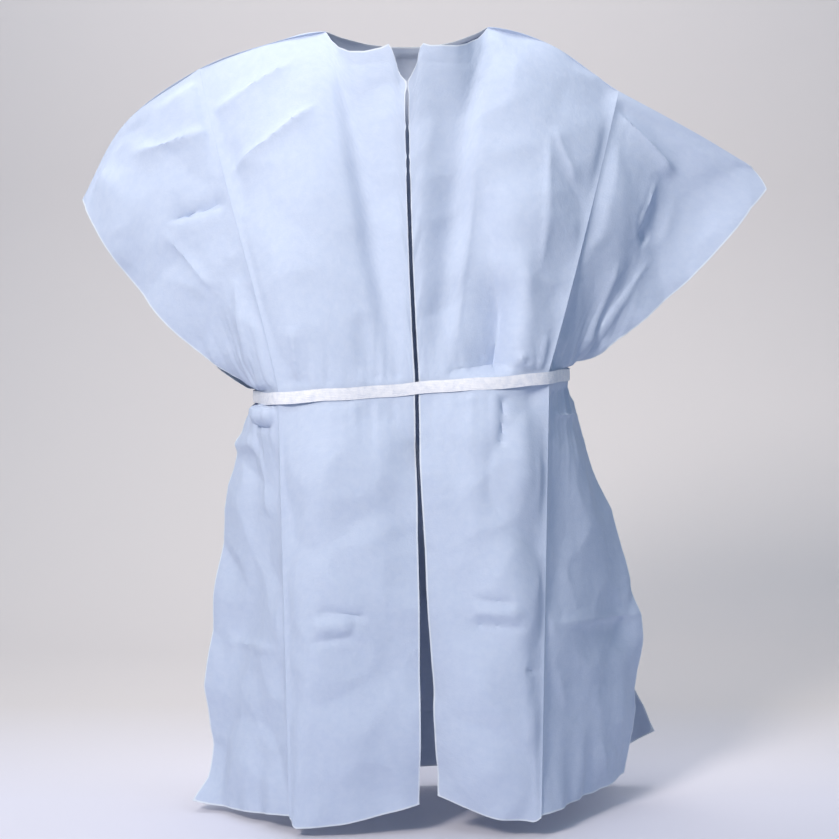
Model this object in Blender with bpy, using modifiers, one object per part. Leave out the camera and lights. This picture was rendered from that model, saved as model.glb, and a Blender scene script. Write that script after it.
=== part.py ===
"""Disposable patient gown: one sheet folded over the shoulders, slit down the front, with a strip belt.

The gown hangs as it does on a wearer who faces -Y, with the arms out of the sleeves. The origin is
at the neck on the shoulder line, +Z is up, and left and right are the wearer's. Lengths are in metres.

The sheet has open sides, so each panel between two fold lines is a piece of its own. A panel is a
loft across columns, and a column is a Bezier curve from the shoulder down to the belt, or from the
belt down to the hem.
"""

import bmesh
import bpy
from mathutils import Vector

# Driving dimensions
SHEET_THICKNESS = 0.0008
FOLD_GAP = 0.0015  # between panels that meet at a fold line
SWING_GAP = 0.006  # above a panel that swings below the belt
SHOULDER_GAP = 0.0024  # between the front and the back along the shoulder fold
BELT_WIDTH = 0.016
BELT_THICKNESS = 0.0008
BELT_STANDOFF = 0.0020  # from the middle of the sheet to the middle of the belt
BELT_COVER = 0.010  # half of the height that the belt holds upright
TAIL_LENGTH = 0.30
TAIL_SPLAY = 0.030  # how far a tail's end stands from the middle
TAIL_TOP_SHARE = 0.55  # of the belt's width, from the middle of the knot to the top of a tail
TAIL_LEAN = 0.012  # how much further back a tail ends than it starts
KNOT_SIZE = (0.030, 0.016, 0.024)
KNOT_GAP = 0.001
KNOT_ROUNDING = 0.005
KNOT_ROUNDING_STEPS = 3
WAIST_HEIGHT = -0.483  # of the belt's middle, at x = 0
WAIST_SLOPE = 0.075  # the belt rises towards the wearer's left
GATHER_SHARE = 0.08  # of a skirt column that stays gathered at the belt

# Grid of a panel
CELLS_ACROSS = 2  # between two columns
CELLS_DOWN = 8

PAPER_BLUE = (0.50, 0.64, 0.86, 1.0)
STRIP_WHITE = (0.84, 0.84, 0.88, 1.0)

# Plan of the waist, from the slit round to the middle of the back: x, y
WAIST = {
    "left": {
        "slit": (0.012, -0.131),
        "notch": (0.019, -0.1315),
        "fold": (0.034, -0.1325),
        "neck": (0.056, -0.1345),
        "shoulder": (0.115, -0.137),
        "crease": (0.182, -0.115),
        "wing": (0.202, -0.072),
        "edge": (0.213, -0.030),
    },
    "right": {
        "slit": (0.007, -0.131),
        "notch": (-0.001, -0.1315),
        "fold": (-0.016, -0.1325),
        "neck": (-0.040, -0.1345),
        "shoulder": (-0.105, -0.139),
        "crease": (-0.171, -0.119),
        "wing": (-0.192, -0.078),
        "edge": (-0.203, -0.036),
    },
}
WAIST_BACK = {
    "edge": (0.212, 0.014),
    "wing": (0.196, 0.056),
    "crease": (0.160, 0.090),
    "shoulder": (0.085, 0.106),
    "neck": (0.045, 0.109),
    "centre": (0.000, 0.110),
}

# Upper columns: start on the neckline or the shoulder fold, its handle, and the belt's handle
UPPER_FRONT = {
    "left": {
        "slit": ((-0.001, -0.087, -0.082), (-0.001, -0.110, -0.200), (0.005, -0.128, -0.360)),
        "notch": ((0.018, -0.076, -0.030), (0.016, -0.105, -0.180), (0.017, -0.126, -0.340)),
        "neck": ((0.105, 0.000, 0.000), (0.106, -0.105, -0.075), (0.075, -0.128, -0.330)),
        "shoulder": ((0.190, 0.000, -0.024), (0.190, -0.095, -0.110), (0.148, -0.138, -0.330)),
        "crease": ((0.282, 0.000, -0.086), (0.258, -0.050, -0.180), (0.215, -0.108, -0.345)),
        "wing": ((0.381, 0.000, -0.139), (0.352, 0.028, -0.215), (0.262, -0.008, -0.365)),
        "edge": ((0.462, 0.000, -0.187), (0.515, -0.002, -0.252), (0.305, 0.000, -0.415)),
    },
    "right": {
        "slit": ((-0.006, -0.087, -0.082), (-0.006, -0.110, -0.200), (0.000, -0.128, -0.360)),
        "notch": ((-0.027, -0.076, -0.033), (-0.022, -0.105, -0.180), (-0.006, -0.126, -0.340)),
        "neck": ((-0.113, 0.000, -0.006), (-0.114, -0.105, -0.080), (-0.066, -0.128, -0.335)),
        "shoulder": ((-0.196, 0.000, -0.024), (-0.192, -0.095, -0.115), (-0.135, -0.140, -0.340)),
        "crease": ((-0.284, 0.000, -0.056), (-0.254, -0.062, -0.190), (-0.195, -0.112, -0.370)),
        "wing": ((-0.386, 0.000, -0.130), (-0.352, -0.026, -0.240), (-0.240, -0.060, -0.400)),
        "edge": ((-0.444, 0.000, -0.232), (-0.415, -0.010, -0.320), (-0.300, -0.020, -0.450)),
    },
}
UPPER_BACK = {
    "edge": ((0.045, -0.050), (0.062, 0.040)),
    "wing": ((0.055, -0.075), (0.080, 0.080)),
    "crease": ((0.070, -0.085), (0.095, 0.110)),
    "shoulder": ((0.100, -0.085), (0.118, 0.130)),
    "neck": ((0.100, -0.075), (0.120, 0.140)),
}
BACK_NECKLINE = (0.000, 0.058, -0.012)
BACK_NECKLINE_PULL = (0.000, 0.112, -0.100)
BACK_WAIST_PULL = (0.000, 0.118, -0.340)

# Straight fold lines, from or to the belt: the lapel's top, the flap's foot and the creases' feet
LAPEL_FOLD_TOP = {"left": (0.068, -0.064, -0.031), "right": (-0.077, -0.064, -0.038)}
FLAP_FOLD_FOOT = {"left": (0.146, -0.158, -1.033), "right": (-0.132, -0.158, -1.041)}
CREASE_FOOT = {
    "front": {"left": (0.171, -0.160, -1.037), "right": (-0.157, -0.142, -1.042)},
    "back": {"left": (0.190, 0.152, -1.040), "right": (-0.182, 0.150, -1.040)},
}

# Skirt columns: the belt's handle, the hem's handle and the hem
SKIRT_FRONT = {
    "left": {
        "slit": ((0.014, -0.150, -0.640), (0.030, -0.162, -0.860), (0.038, -0.132, -1.020)),
        "shoulder": ((0.130, -0.165, -0.600), (0.150, -0.178, -0.860), (0.160, -0.160, -1.036)),
        "wing": ((0.220, -0.055, -0.600), (0.268, -0.040, -0.820), (0.241, -0.052, -1.034)),
        "edge": ((0.250, 0.040, -0.600), (0.362, 0.092, -0.850), (0.300, 0.030, -1.030)),
    },
    "right": {
        "slit": ((0.010, -0.152, -0.640), (0.016, -0.168, -0.860), (0.013, -0.146, -1.028)),
        "shoulder": ((-0.115, -0.165, -0.600), (-0.120, -0.175, -0.860), (-0.144, -0.155, -1.042)),
        "wing": ((-0.205, -0.062, -0.620), (-0.192, -0.058, -0.860), (-0.228, -0.052, -1.056)),
        "edge": ((-0.266, 0.012, -0.620), (-0.256, 0.044, -0.860), (-0.294, 0.002, -1.054)),
    },
}
SKIRT_BACK = {
    "left": {
        "edge": ((0.236, 0.100, -0.640), (0.270, 0.150, -0.850), (0.352, 0.132, -0.985)),
        "wing": ((0.214, 0.110, -0.640), (0.230, 0.158, -0.850), (0.275, 0.152, -1.030)),
    },
    "right": {
        "edge": ((-0.240, 0.080, -0.640), (-0.235, 0.120, -0.850), (-0.262, 0.110, -1.040)),
        "wing": ((-0.214, 0.105, -0.640), (-0.212, 0.146, -0.850), (-0.230, 0.140, -1.040)),
    },
}
SKIRT_BACK_SHOULDER = ((0.088, 0.116, -0.640), (0.092, 0.134, -0.850), (0.096, 0.146, -1.040))
SKIRT_BACK_CENTRE = ((0.000, 0.116, -0.640), (0.000, 0.128, -0.850), (0.000, 0.140, -1.040))

SIDES = {"left": 1.0, "right": -1.0}


# Curves and columns

def bezier(points, t):
    """The point at t, from 0 to 1, on the cubic Bezier curve through four points."""
    a, b, c, d = (Vector(point) for point in points)
    s = 1.0 - t
    return s**3 * a + 3 * s**2 * t * b + 3 * s * t**2 * c + t**3 * d


def waist_point(plan, lift=0.0):
    """A point of the waist over its plan, on the slanting line of the belt."""
    x, y = plan
    return Vector((x, y, WAIST_HEIGHT + WAIST_SLOPE * x + lift))


def upper_column(plan, start, pull, belt_pull):
    """Curve from the shoulder or the neckline to the top of the band that the belt holds."""
    return (start, pull, belt_pull, waist_point(plan, BELT_COVER))


def skirt_column(plan, belt_pull, hem_pull, hem):
    """Curve from the foot of the band that the belt holds to the hem."""
    return (waist_point(plan, -BELT_COVER), belt_pull, hem_pull, hem)


def straight_column(start, end):
    """A straight line, written as a Bezier curve."""
    start, end = Vector(start), Vector(end)
    return (start, start.lerp(end, 1 / 3), start.lerp(end, 2 / 3), end)


def mirrored(point, sign):
    """The point as it is for sign 1, and on the other side of the middle for sign -1."""
    return (sign * point[0], *point[1:])


def front_upper_columns(side):
    """The columns of the front above the belt, by name."""
    plans = WAIST[side]
    forward = Vector((0, -SHOULDER_GAP / 2, 0))
    columns = {
        name: upper_column(plans[name], Vector(start) + forward, pull, belt_pull)
        for name, (start, pull, belt_pull) in UPPER_FRONT[side].items()
    }
    fold_foot = waist_point(plans["fold"], BELT_COVER)
    columns["fold"] = straight_column(LAPEL_FOLD_TOP[side], fold_foot)
    return columns


def back_upper_columns(side):
    """The columns of the back above the belt, which start where the front ones do."""
    columns = {}
    for name, (shoulder_pull, belt_pull) in UPPER_BACK.items():
        start = Vector(UPPER_FRONT[side][name][0]) + Vector((0, SHOULDER_GAP / 2, 0))
        depth, drop = shoulder_pull
        outward = Vector(UPPER_FRONT[side][name][1]).x
        plan = waist_point(mirrored(WAIST_BACK[name], SIDES[side]), BELT_COVER)
        belt_handle = (
            Vector(UPPER_FRONT[side][name][2]).x,
            belt_pull[0],
            plan.z + belt_pull[1],
        )
        columns[name] = (start, (outward, depth, start.z + drop), belt_handle, plan)
    centre_foot = waist_point(WAIST_BACK["centre"], BELT_COVER)
    columns["centre"] = (BACK_NECKLINE, BACK_NECKLINE_PULL, BACK_WAIST_PULL, centre_foot)
    return columns


def front_skirt_columns(side):
    """The columns of the front below the belt, by name."""
    plans = WAIST[side]
    columns = {
        name: skirt_column(plans[name], *curve) for name, curve in SKIRT_FRONT[side].items()
    }
    fold_top = waist_point(plans["fold"], -BELT_COVER)
    columns["fold"] = straight_column(fold_top, FLAP_FOLD_FOOT[side])
    crease_top = waist_point(plans["crease"], -BELT_COVER)
    columns["crease"] = straight_column(crease_top, CREASE_FOOT["front"][side])
    return columns


def back_skirt_columns(side):
    """The columns of the back below the belt, by name."""
    sign = SIDES[side]
    columns = {
        name: skirt_column(mirrored(WAIST_BACK[name], sign), *curve)
        for name, curve in SKIRT_BACK[side].items()
    }
    crease_top = waist_point(mirrored(WAIST_BACK["crease"], sign), -BELT_COVER)
    columns["crease"] = straight_column(crease_top, CREASE_FOOT["back"][side])
    beside = tuple(mirrored(point, sign) for point in SKIRT_BACK_SHOULDER)
    columns["shoulder"] = skirt_column(mirrored(WAIST_BACK["shoulder"], sign), *beside)
    columns["centre"] = skirt_column(WAIST_BACK["centre"], *SKIRT_BACK_CENTRE)
    return columns


# Panels

def between(points, share):
    """The point at share, from 0 to 1, on a Catmull-Rom spline through points at even steps."""
    last = len(points) - 1
    place = min(share * last, last - 1e-9)
    first = int(place)
    t = place - first
    a = points[max(first - 1, 0)]
    b, c = points[first], points[first + 1]
    d = points[min(first + 2, last)]
    if first == 0:
        a = b + (b - c)
    if first + 2 > last:
        d = c + (c - b)
    return 0.5 * (
        2 * b + (c - a) * t + (2 * a - 5 * b + 4 * c - d) * t**2 + (3 * b - a - 3 * c + d) * t**3
    )


def loft(columns, start=0.0, stop=1.0, band=0.0):
    """Rows of points across the columns, between two shares of their length.

    A band above 0 adds a row that much higher, and one below 0 a row that much lower.
    """
    across = CELLS_ACROSS * (len(columns) - 1)
    rows = []
    for step in range(CELLS_DOWN + 1):
        t = start + (stop - start) * step / CELLS_DOWN
        points = [bezier(column, t) for column in columns]
        row = []
        for place in range(across):
            first, share = divmod(place, CELLS_ACROSS)
            row.append(points[first].lerp(points[first + 1], share / CELLS_ACROSS))
        rows.append(row + [points[-1]])
    if band > 0:
        rows.insert(0, [point + Vector((0, 0, band)) for point in rows[0]])
    if band < 0:
        rows.append([point + Vector((0, 0, band)) for point in rows[-1]])
    return rows


def drawn_in(rows, sides=FOLD_GAP / 2, top=FOLD_GAP / 2, foot=FOLD_GAP / 2):
    """The rows with their border moved towards the middle, so that neighbours keep their gap."""
    moved = [list(row) for row in rows]
    for row, new in zip(rows, moved):
        new[0] = row[0] + (row[1] - row[0]).normalized() * sides
        new[-1] = row[-1] + (row[-2] - row[-1]).normalized() * sides
    for place, point in enumerate(rows[0]):
        moved[0][place] += (rows[1][place] - point).normalized() * top
        moved[-1][place] += (rows[-2][place] - rows[-1][place]).normalized() * foot
    return moved


def shell(name, rows, material, thickness, origin=(0, 0, 0)):
    """A shell of even thickness about the grid of points, with its origin where it turns."""
    down, across = len(rows) - 1, len(rows[0]) - 1
    grid = bmesh.new()
    bmesh.ops.create_grid(grid, x_segments=across, y_segments=down, size=0.5)
    for vertex in grid.verts:
        place = round((vertex.co.x + 0.5) * across)
        row = round((0.5 - vertex.co.y) * down)
        vertex.co = rows[row][place] - Vector(origin)
    mesh = bpy.data.meshes.new(name)
    grid.to_mesh(mesh)
    grid.free()
    mesh.materials.append(material)
    piece = bpy.data.objects.new(name, mesh)
    piece.location = origin
    parts.objects.link(piece)
    wall = piece.modifiers.new("Wall", "SOLIDIFY")
    wall.thickness = thickness
    wall.offset = 0.0
    return piece


def paper_shell(name, rows, origin=(0, 0, 0)):
    """A panel of the sheet."""
    return shell(name, rows, paper, SHEET_THICKNESS, origin)


# The sheet above the belt

def add_chest(side):
    """The fixed front panel and the lapel that folds along its straight fold line."""
    columns = front_upper_columns(side)
    named = [columns[name] for name in ("fold", "neck", "shoulder", "crease")]
    paper_shell(f"chest_panel_{side}", drawn_in(loft(named, band=-BELT_COVER)))
    fold = columns["fold"]
    named = [columns[name] for name in ("slit", "notch", "fold")]
    middle = Vector(fold[0]).lerp(Vector(fold[3]), 0.5)
    paper_shell(f"lapel_{side}", drawn_in(loft(named)), origin=middle)


def add_sleeve(side):
    """The front and back layers of a sleeve, joined only along the shoulder fold."""
    front, back = front_upper_columns(side), back_upper_columns(side)
    names = ("crease", "wing", "edge")
    layers = {"front": front, "back": back}
    for layer, columns in layers.items():
        rows = loft([columns[name] for name in names], band=-BELT_COVER)
        paper_shell(f"sleeve_{layer}_{side}", drawn_in(rows))


def add_back_panel():
    """The plain back above the belt, from one crease to the other."""
    left, right = back_upper_columns("left"), back_upper_columns("right")
    names = ("crease", "shoulder", "neck")
    columns = [right[name] for name in names] + [left["centre"]]
    columns += [left[name] for name in reversed(names)]
    paper_shell("back_panel", drawn_in(loft(columns, band=-BELT_COVER)))


# The skirt

def add_front_skirt(side):
    """The fixed front panel below the belt and the flap beside the slit."""
    columns = front_skirt_columns(side)
    named = [columns[name] for name in ("fold", "shoulder", "crease")]
    paper_shell(f"skirt_front_{side}", drawn_in(loft(named, band=BELT_COVER)))
    fold = columns["fold"]
    middle = Vector(fold[0]).lerp(Vector(fold[3]), 0.5)
    rows = loft([columns["slit"], fold])
    paper_shell(f"flap_{side}", drawn_in(rows, top=FOLD_GAP), origin=middle)


def add_side_panel(layer, side, columns):
    """A gather under the belt, and the free side panel that swings at the crease below it."""
    named = [columns[name] for name in ("crease", "wing", "edge")]
    rows = loft(named, stop=GATHER_SHARE, band=BELT_COVER)
    paper_shell(f"gather_{layer}_{side}", drawn_in(rows))
    rows = drawn_in(loft(named, start=GATHER_SHARE), top=SWING_GAP)
    middle = bezier(columns["crease"], GATHER_SHARE).lerp(Vector(columns["crease"][3]), 0.5)
    paper_shell(f"skirt_side_{layer}_{side}", rows, origin=middle)


def add_back_skirt():
    """The middle of the back below the belt."""
    left, right = back_skirt_columns("left"), back_skirt_columns("right")
    columns = [right["crease"], right["shoulder"], left["centre"], left["shoulder"]]
    columns.append(left["crease"])
    paper_shell("skirt_back", drawn_in(loft(columns, band=BELT_COVER)))


# The belt

def belt_line(plans):
    """The belt's middle line over waist plans, held clear of the sheet."""
    points = [waist_point(plan) for plan in plans]
    steps = CELLS_ACROSS * (len(points) - 1)
    line = [between(points, step / steps) for step in range(steps + 1)]
    outward = []
    for place, point in enumerate(line):
        along = line[min(place + 1, steps)] - line[max(place - 1, 0)]
        outward.append(point + Vector((along.y, -along.x, 0)).normalized() * BELT_STANDOFF)
    return outward


def add_belt_run(name, line):
    """A stretch of the belt along its middle line."""
    half = Vector((0, 0, BELT_WIDTH / 2))
    rows = drawn_in([[point + half for point in line], [point - half for point in line]], top=0, foot=0)
    shell(name, rows, strip, BELT_THICKNESS)


def knot_centre():
    """The middle of the knot, on the belt behind the back."""
    depth = WAIST_BACK["centre"][1] + BELT_STANDOFF + KNOT_SIZE[1] / 2
    return Vector((0, depth, WAIST_HEIGHT))


def add_belt():
    """The front of the belt, its two ends, the knot behind the back and the two tails."""
    around = {}
    for side, sign in SIDES.items():
        names = ("edge", "wing", "crease", "shoulder")
        front = [WAIST[side][name] for name in (*names, "neck")]
        back = [mirrored(WAIST_BACK[name], sign) for name in names]
        around[side] = front, back
    middle = [WAIST["right"]["fold"], WAIST["left"]["fold"]]
    add_belt_run("belt_front", belt_line(around["right"][0] + middle + around["left"][0][::-1]))
    for side, sign in SIDES.items():
        front, back = around[side]
        knot_side = (sign * (KNOT_SIZE[0] / 2), WAIST_BACK["centre"][1])
        plans = [front[0], *back, knot_side]
        line = belt_line(plans if sign > 0 else plans[::-1])
        add_belt_run(f"belt_end_{side}", line)
    add_knot()
    for side, sign in SIDES.items():
        add_tail(side, sign)


def add_knot():
    """The knot, a soft block with well rounded edges."""
    form = bmesh.new()
    bmesh.ops.create_cube(form, size=1.0)
    bmesh.ops.scale(form, vec=KNOT_SIZE, verts=form.verts)
    mesh = bpy.data.meshes.new("belt_knot")
    form.to_mesh(mesh)
    form.free()
    mesh.materials.append(strip)
    knot = bpy.data.objects.new("belt_knot", mesh)
    knot.location = knot_centre() + Vector((0, KNOT_GAP, 0))
    parts.objects.link(knot)
    rounding = knot.modifiers.new("Rounding", "BEVEL")
    rounding.width = KNOT_ROUNDING
    rounding.segments = KNOT_ROUNDING_STEPS


def add_tail(side, sign):
    """A loose end of the belt that hangs from the knot."""
    beside = sign * BELT_WIDTH * TAIL_TOP_SHARE
    top = knot_centre() + Vector((beside, 0, -KNOT_SIZE[2] / 2 - FOLD_GAP))
    end = Vector((sign * TAIL_SPLAY, top.y + TAIL_LEAN, top.z - TAIL_LENGTH))
    half = Vector((BELT_WIDTH / 2, 0, 0))
    rows = []
    for step in range(CELLS_DOWN + 1):
        point = top.lerp(end, step / CELLS_DOWN)
        rows.append([point - half, point + half])
    shell(f"belt_tail_{side}", rows, strip, BELT_THICKNESS, origin=top)


def add_material(name, colour, roughness):
    """A plain material of one colour."""
    material = bpy.data.materials.new(name)
    material.use_nodes = True
    surface = material.node_tree.nodes["Principled BSDF"]
    surface.inputs["Base Color"].default_value = colour
    surface.inputs["Roughness"].default_value = roughness
    surface.inputs["Metallic"].default_value = 0.0
    return material


for old in list(bpy.data.objects):
    bpy.data.objects.remove(old)
parts = bpy.data.collections.new("patient_gown")
bpy.context.scene.collection.children.link(parts)
paper = add_material("tissue_sheet", PAPER_BLUE, 0.85)
strip = add_material("belt_strip", STRIP_WHITE, 0.55)

for wearer_side in SIDES:
    add_chest(wearer_side)
    add_sleeve(wearer_side)
    add_front_skirt(wearer_side)
    add_side_panel("front", wearer_side, front_skirt_columns(wearer_side))
    add_side_panel("back", wearer_side, back_skirt_columns(wearer_side))
add_back_panel()
add_back_skirt()
add_belt()
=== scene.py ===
"""Looks of the disposable patient gown: a tissue sheet folded over the shoulders, tied with a strip belt.

The gown hangs as on a wearer who faces -Y. Left and right are the wearer's, and left is +X.
"""

from __future__ import annotations

import logging
import math
from dataclasses import dataclass
from enum import Enum

import bpy
import numpy as np
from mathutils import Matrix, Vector


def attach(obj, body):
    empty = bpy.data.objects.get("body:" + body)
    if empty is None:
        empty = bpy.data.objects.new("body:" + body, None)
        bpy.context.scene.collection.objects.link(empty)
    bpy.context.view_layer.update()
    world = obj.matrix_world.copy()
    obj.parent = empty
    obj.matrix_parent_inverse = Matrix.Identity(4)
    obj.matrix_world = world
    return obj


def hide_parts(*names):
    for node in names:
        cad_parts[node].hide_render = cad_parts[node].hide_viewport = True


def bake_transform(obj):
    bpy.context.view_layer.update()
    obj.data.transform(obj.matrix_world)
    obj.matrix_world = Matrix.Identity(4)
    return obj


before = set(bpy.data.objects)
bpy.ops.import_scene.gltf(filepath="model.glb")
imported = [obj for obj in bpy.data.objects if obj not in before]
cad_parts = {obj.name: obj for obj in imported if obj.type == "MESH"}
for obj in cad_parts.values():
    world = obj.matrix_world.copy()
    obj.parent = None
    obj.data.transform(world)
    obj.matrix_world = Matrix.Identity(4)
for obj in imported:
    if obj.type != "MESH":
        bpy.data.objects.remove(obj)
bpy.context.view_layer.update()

LOG = logging.getLogger("patient_gown")

Point = tuple[float, float, float]
Spot = tuple[float, float]

CELL = 0.0036  # of the grid of a sheet panel
SHEET_WALL = 0.0005
SHARP_ANGLE = math.radians(50.0)
BELT_WIDTH = 0.016
BELT_WALL = 0.0005
BELT_STANDOFF = 0.0020
BELT_COVER = 0.010  # half of the height that the belt holds upright
WAIST_HEIGHT = -0.483
WAIST_SLOPE = 0.075


class Side(Enum):
    """The wearer's side, by the sign of x."""

    LEFT = 1.0
    RIGHT = -1.0

    @property
    def word(self) -> str:
        """The side's word in the names of pieces."""
        return self.name.lower()


class Border(Enum):
    """A border of a panel's grid: columns run down it, from the near one to the far one."""

    TOP = "top"
    FOOT = "foot"
    NEAR = "near"
    FAR = "far"


class FoldShape(Enum):
    """How a fold's height falls away from its line."""

    SOFT = "soft"
    CREASED = "creased"


CREASED = FoldShape.CREASED
CREASE_STEEPNESS = 1.6  # how fast a crease falls away from its line, for each width
ENDS = (Border.TOP, Border.FOOT)


# Curves

def smooth(value: np.ndarray | float) -> np.ndarray:
    """A smooth step from 0 to 1 as the value goes from 0 to 1."""
    share = np.clip(value, 0.0, 1.0)
    return share * share * (3.0 - 2.0 * share)


def hermite(knots: np.ndarray, values: np.ndarray, at: np.ndarray) -> np.ndarray:
    """Smooth curve through values at uneven knots.

    Args:
        knots: Places of the values, growing.
        values: One row for each knot, of any further shape.
        at: Places to read the curve at.

    Returns:
        One row for each place.
    """
    steps = np.diff(knots)
    shape = (-1,) + (1,) * (values.ndim - 1)
    chords = np.diff(values, axis=0) / steps.reshape(shape)
    slopes = np.empty_like(values)
    slopes[0], slopes[-1] = chords[0], chords[-1]
    before, after = steps[:-1].reshape(shape), steps[1:].reshape(shape)
    slopes[1:-1] = (chords[:-1] * after + chords[1:] * before) / (before + after)
    first = np.clip(np.searchsorted(knots, at, side="right") - 1, 0, len(knots) - 2)
    h = steps[first].reshape(shape)
    t = ((at - knots[first]) / steps[first]).reshape(shape)
    t2, t3 = t * t, t * t * t
    return (
        (2 * t3 - 3 * t2 + 1) * values[first]
        + (t3 - 2 * t2 + t) * h * slopes[first]
        + (3 * t2 - 2 * t3) * values[first + 1]
        + (t3 - t2) * h * slopes[first + 1]
    )


@dataclass(frozen=True)
class Column:
    """A cubic curve down the sheet, by its two ends and two handles."""

    start: Point
    upper: Point
    lower: Point
    end: Point

    def at(self, t: np.ndarray) -> np.ndarray:
        """Points at shares t of the curve."""
        a, b, c, d = (np.array(p, float)[None, :] for p in (self.start, self.upper, self.lower, self.end))
        t = t[:, None]
        s = 1.0 - t
        return s**3 * a + 3 * s**2 * t * b + 3 * s * t**2 * c + t**3 * d

    @classmethod
    def straight(cls, start: Point, end: Point) -> "Column":
        """A straight column."""
        a, b = Vector(start), Vector(end)
        return cls(tuple(a), tuple(a.lerp(b, 1 / 3)), tuple(a.lerp(b, 2 / 3)), tuple(b))


@dataclass(frozen=True)
class Fold:
    """A raised or sunken line in a panel, placed by x and z."""

    start: Spot
    end: Spot
    height: float
    width: float
    shape: FoldShape = FoldShape.SOFT
    skew: float = 0.0  # above 0 the side towards +x of a line that runs down is the wider one
    fade: float = 0.25  # share of the length over which the fold dies away at each end

    def heights(self, points: np.ndarray) -> np.ndarray:
        """How far each point is raised."""
        start, end = np.array(self.start), np.array(self.end)
        line = end - start
        length = float(np.hypot(*line))
        line = line / length
        offset = points[..., [0, 2]] - start
        along = offset @ line / length
        aside = offset @ np.array([-line[1], line[0]])
        width = np.where(aside > 0, self.width * (1 + self.skew), self.width * (1 - self.skew))
        over = np.clip(np.abs(along - 0.5) - 0.5, 0, None) * length
        away = np.hypot(aside, over) / width
        fall = np.exp(-CREASE_STEEPNESS * away if self.shape is CREASED else -away * away)
        window = smooth(along / self.fade) * smooth((1.0 - along) / self.fade)
        return self.height * fall * window


@dataclass(frozen=True)
class Outline:
    """Pulls a border of a panel onto stations, each a share along the border and an offset."""

    border: Border
    stations: tuple[tuple[float, Point], ...]
    reach: float  # of the pull into the panel

    def pulled(self, rows: np.ndarray) -> np.ndarray:
        """The grid with its border moved by the stations' offsets."""
        knots = np.array([share for share, _ in self.stations])
        offsets = np.array([offset for _, offset in self.stations], float)
        share = border_share(rows, self.border)
        pull = np.stack([np.interp(share, knots, offsets[:, axis]) for axis in range(3)], axis=-1)
        fade = 1.0 - smooth(border_distance(rows, self.border) / self.reach)
        return rows + pull * fade[..., None]


@dataclass(frozen=True)
class Ripple:
    """Waves along a free border that die away into the panel."""

    border: Border
    height: float
    length: float
    reach: float
    phase: float = 0.0

    FINE_HEIGHT = 0.45  # of the finer waves, as shares of the main ones
    FINE_LENGTH = 0.43
    FINE_PHASE = 2.1
    SWELL_LOW = 0.35  # share of the height where the slow swell is lowest
    SWELL_LENGTH = 2.7
    SWELL_PHASE = 1.3

    def heights(self, rows: np.ndarray) -> np.ndarray:
        """How far each point of the grid is raised."""
        along = border_distance(rows, Border.NEAR if self.border in ENDS else Border.TOP)
        turns = 2 * math.pi * along / self.length
        wave = np.sin(turns + self.phase)
        wave += self.FINE_HEIGHT * np.sin(turns / self.FINE_LENGTH + self.FINE_PHASE * self.phase)
        swell = np.sin(0.5 * turns / self.SWELL_LENGTH + self.SWELL_PHASE * self.phase) ** 2
        wave *= self.SWELL_LOW + (1.0 - self.SWELL_LOW) * swell
        return self.height * wave * np.exp(-border_distance(rows, self.border) / self.reach)


@dataclass(frozen=True)
class Panel:
    """A piece of the sheet between two fold lines, as a grid across its columns."""

    name: str
    columns: tuple[Column, ...]
    outward: Point
    band: float = 0.0  # straight rows under the belt: below 0 at the foot, above 0 at the top
    joined: frozenset[Border] = frozenset()
    folds: tuple[Fold, ...] = ()
    outlines: tuple[Outline, ...] = ()
    ripples: tuple[Ripple, ...] = ()
    crumple: float = 0.0019
    seed: float = 0.0
    # free borders, along which the finish paints a highlight
    rim_borders: frozenset[Border] = frozenset()
    neckline: "Neckline | None" = None
    tents: frozenset[Border] = frozenset()  # borders that stand as the ridge of a factory crease

    SAMPLES = 40  # along a column, to measure it
    LEAST_DOWN = 8
    LEAST_ACROSS = 4
    LEAST_BAND = 2

    def grid(self) -> np.ndarray:
        """The panel's smooth grid, as rows down by columns across by 3."""
        middle = np.array([column.at(np.array([0.5]))[0] for column in self.columns])
        gaps = np.linalg.norm(np.diff(middle, axis=0), axis=1)
        knots = np.concatenate([[0.0], np.cumsum(gaps)])
        samples = np.linspace(0, 1, self.SAMPLES)
        lengths = [np.linalg.norm(np.diff(column.at(samples), axis=0), axis=1).sum() for column in self.columns]
        down = max(self.LEAST_DOWN, round(max(lengths) / CELL))
        across = max(self.LEAST_ACROSS, round(knots[-1] / CELL))
        t = np.linspace(0.0, 1.0, down + 1)
        lines = np.array([column.at(t) for column in self.columns])
        rows = hermite(knots, lines, np.linspace(0.0, knots[-1], across + 1)).transpose(1, 0, 2)
        if self.band:
            steps = max(self.LEAST_BAND, round(abs(self.band) / CELL))
            lift = np.linspace(0.0, self.band, steps + 1)[1:]
            if self.band > 0:
                added = [rows[0] + np.array([0, 0, z]) for z in lift[::-1]]
                rows = np.concatenate([added, rows])
            else:
                added = [rows[-1] + np.array([0, 0, z]) for z in lift]
                rows = np.concatenate([rows, added])
        return rows


def grid_normals(rows: np.ndarray, outward: Point) -> np.ndarray:
    """Unit normals of a grid, on the side of the outward direction."""
    normals = np.cross(np.gradient(rows, axis=0), np.gradient(rows, axis=1))
    normals /= np.maximum(np.linalg.norm(normals, axis=2, keepdims=True), 1e-12)
    if (normals.reshape(-1, 3).mean(axis=0) @ np.array(outward)) < 0:
        normals = -normals
    return normals


def border_distance(rows: np.ndarray, border: Border) -> np.ndarray:
    """Distance of each grid point from a border, measured along the grid, in metres."""
    axis = 0 if border in ENDS else 1
    steps = np.linalg.norm(np.diff(rows, axis=axis), axis=2)
    if border in (Border.FOOT, Border.FAR):
        steps = np.flip(steps, axis=axis)
    walked = np.cumsum(steps, axis=axis)
    first = np.zeros_like(np.take(walked, [0], axis=axis))
    walked = np.concatenate([first, walked], axis=axis)
    if border in (Border.FOOT, Border.FAR):
        walked = np.flip(walked, axis=axis)
    return walked


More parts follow.
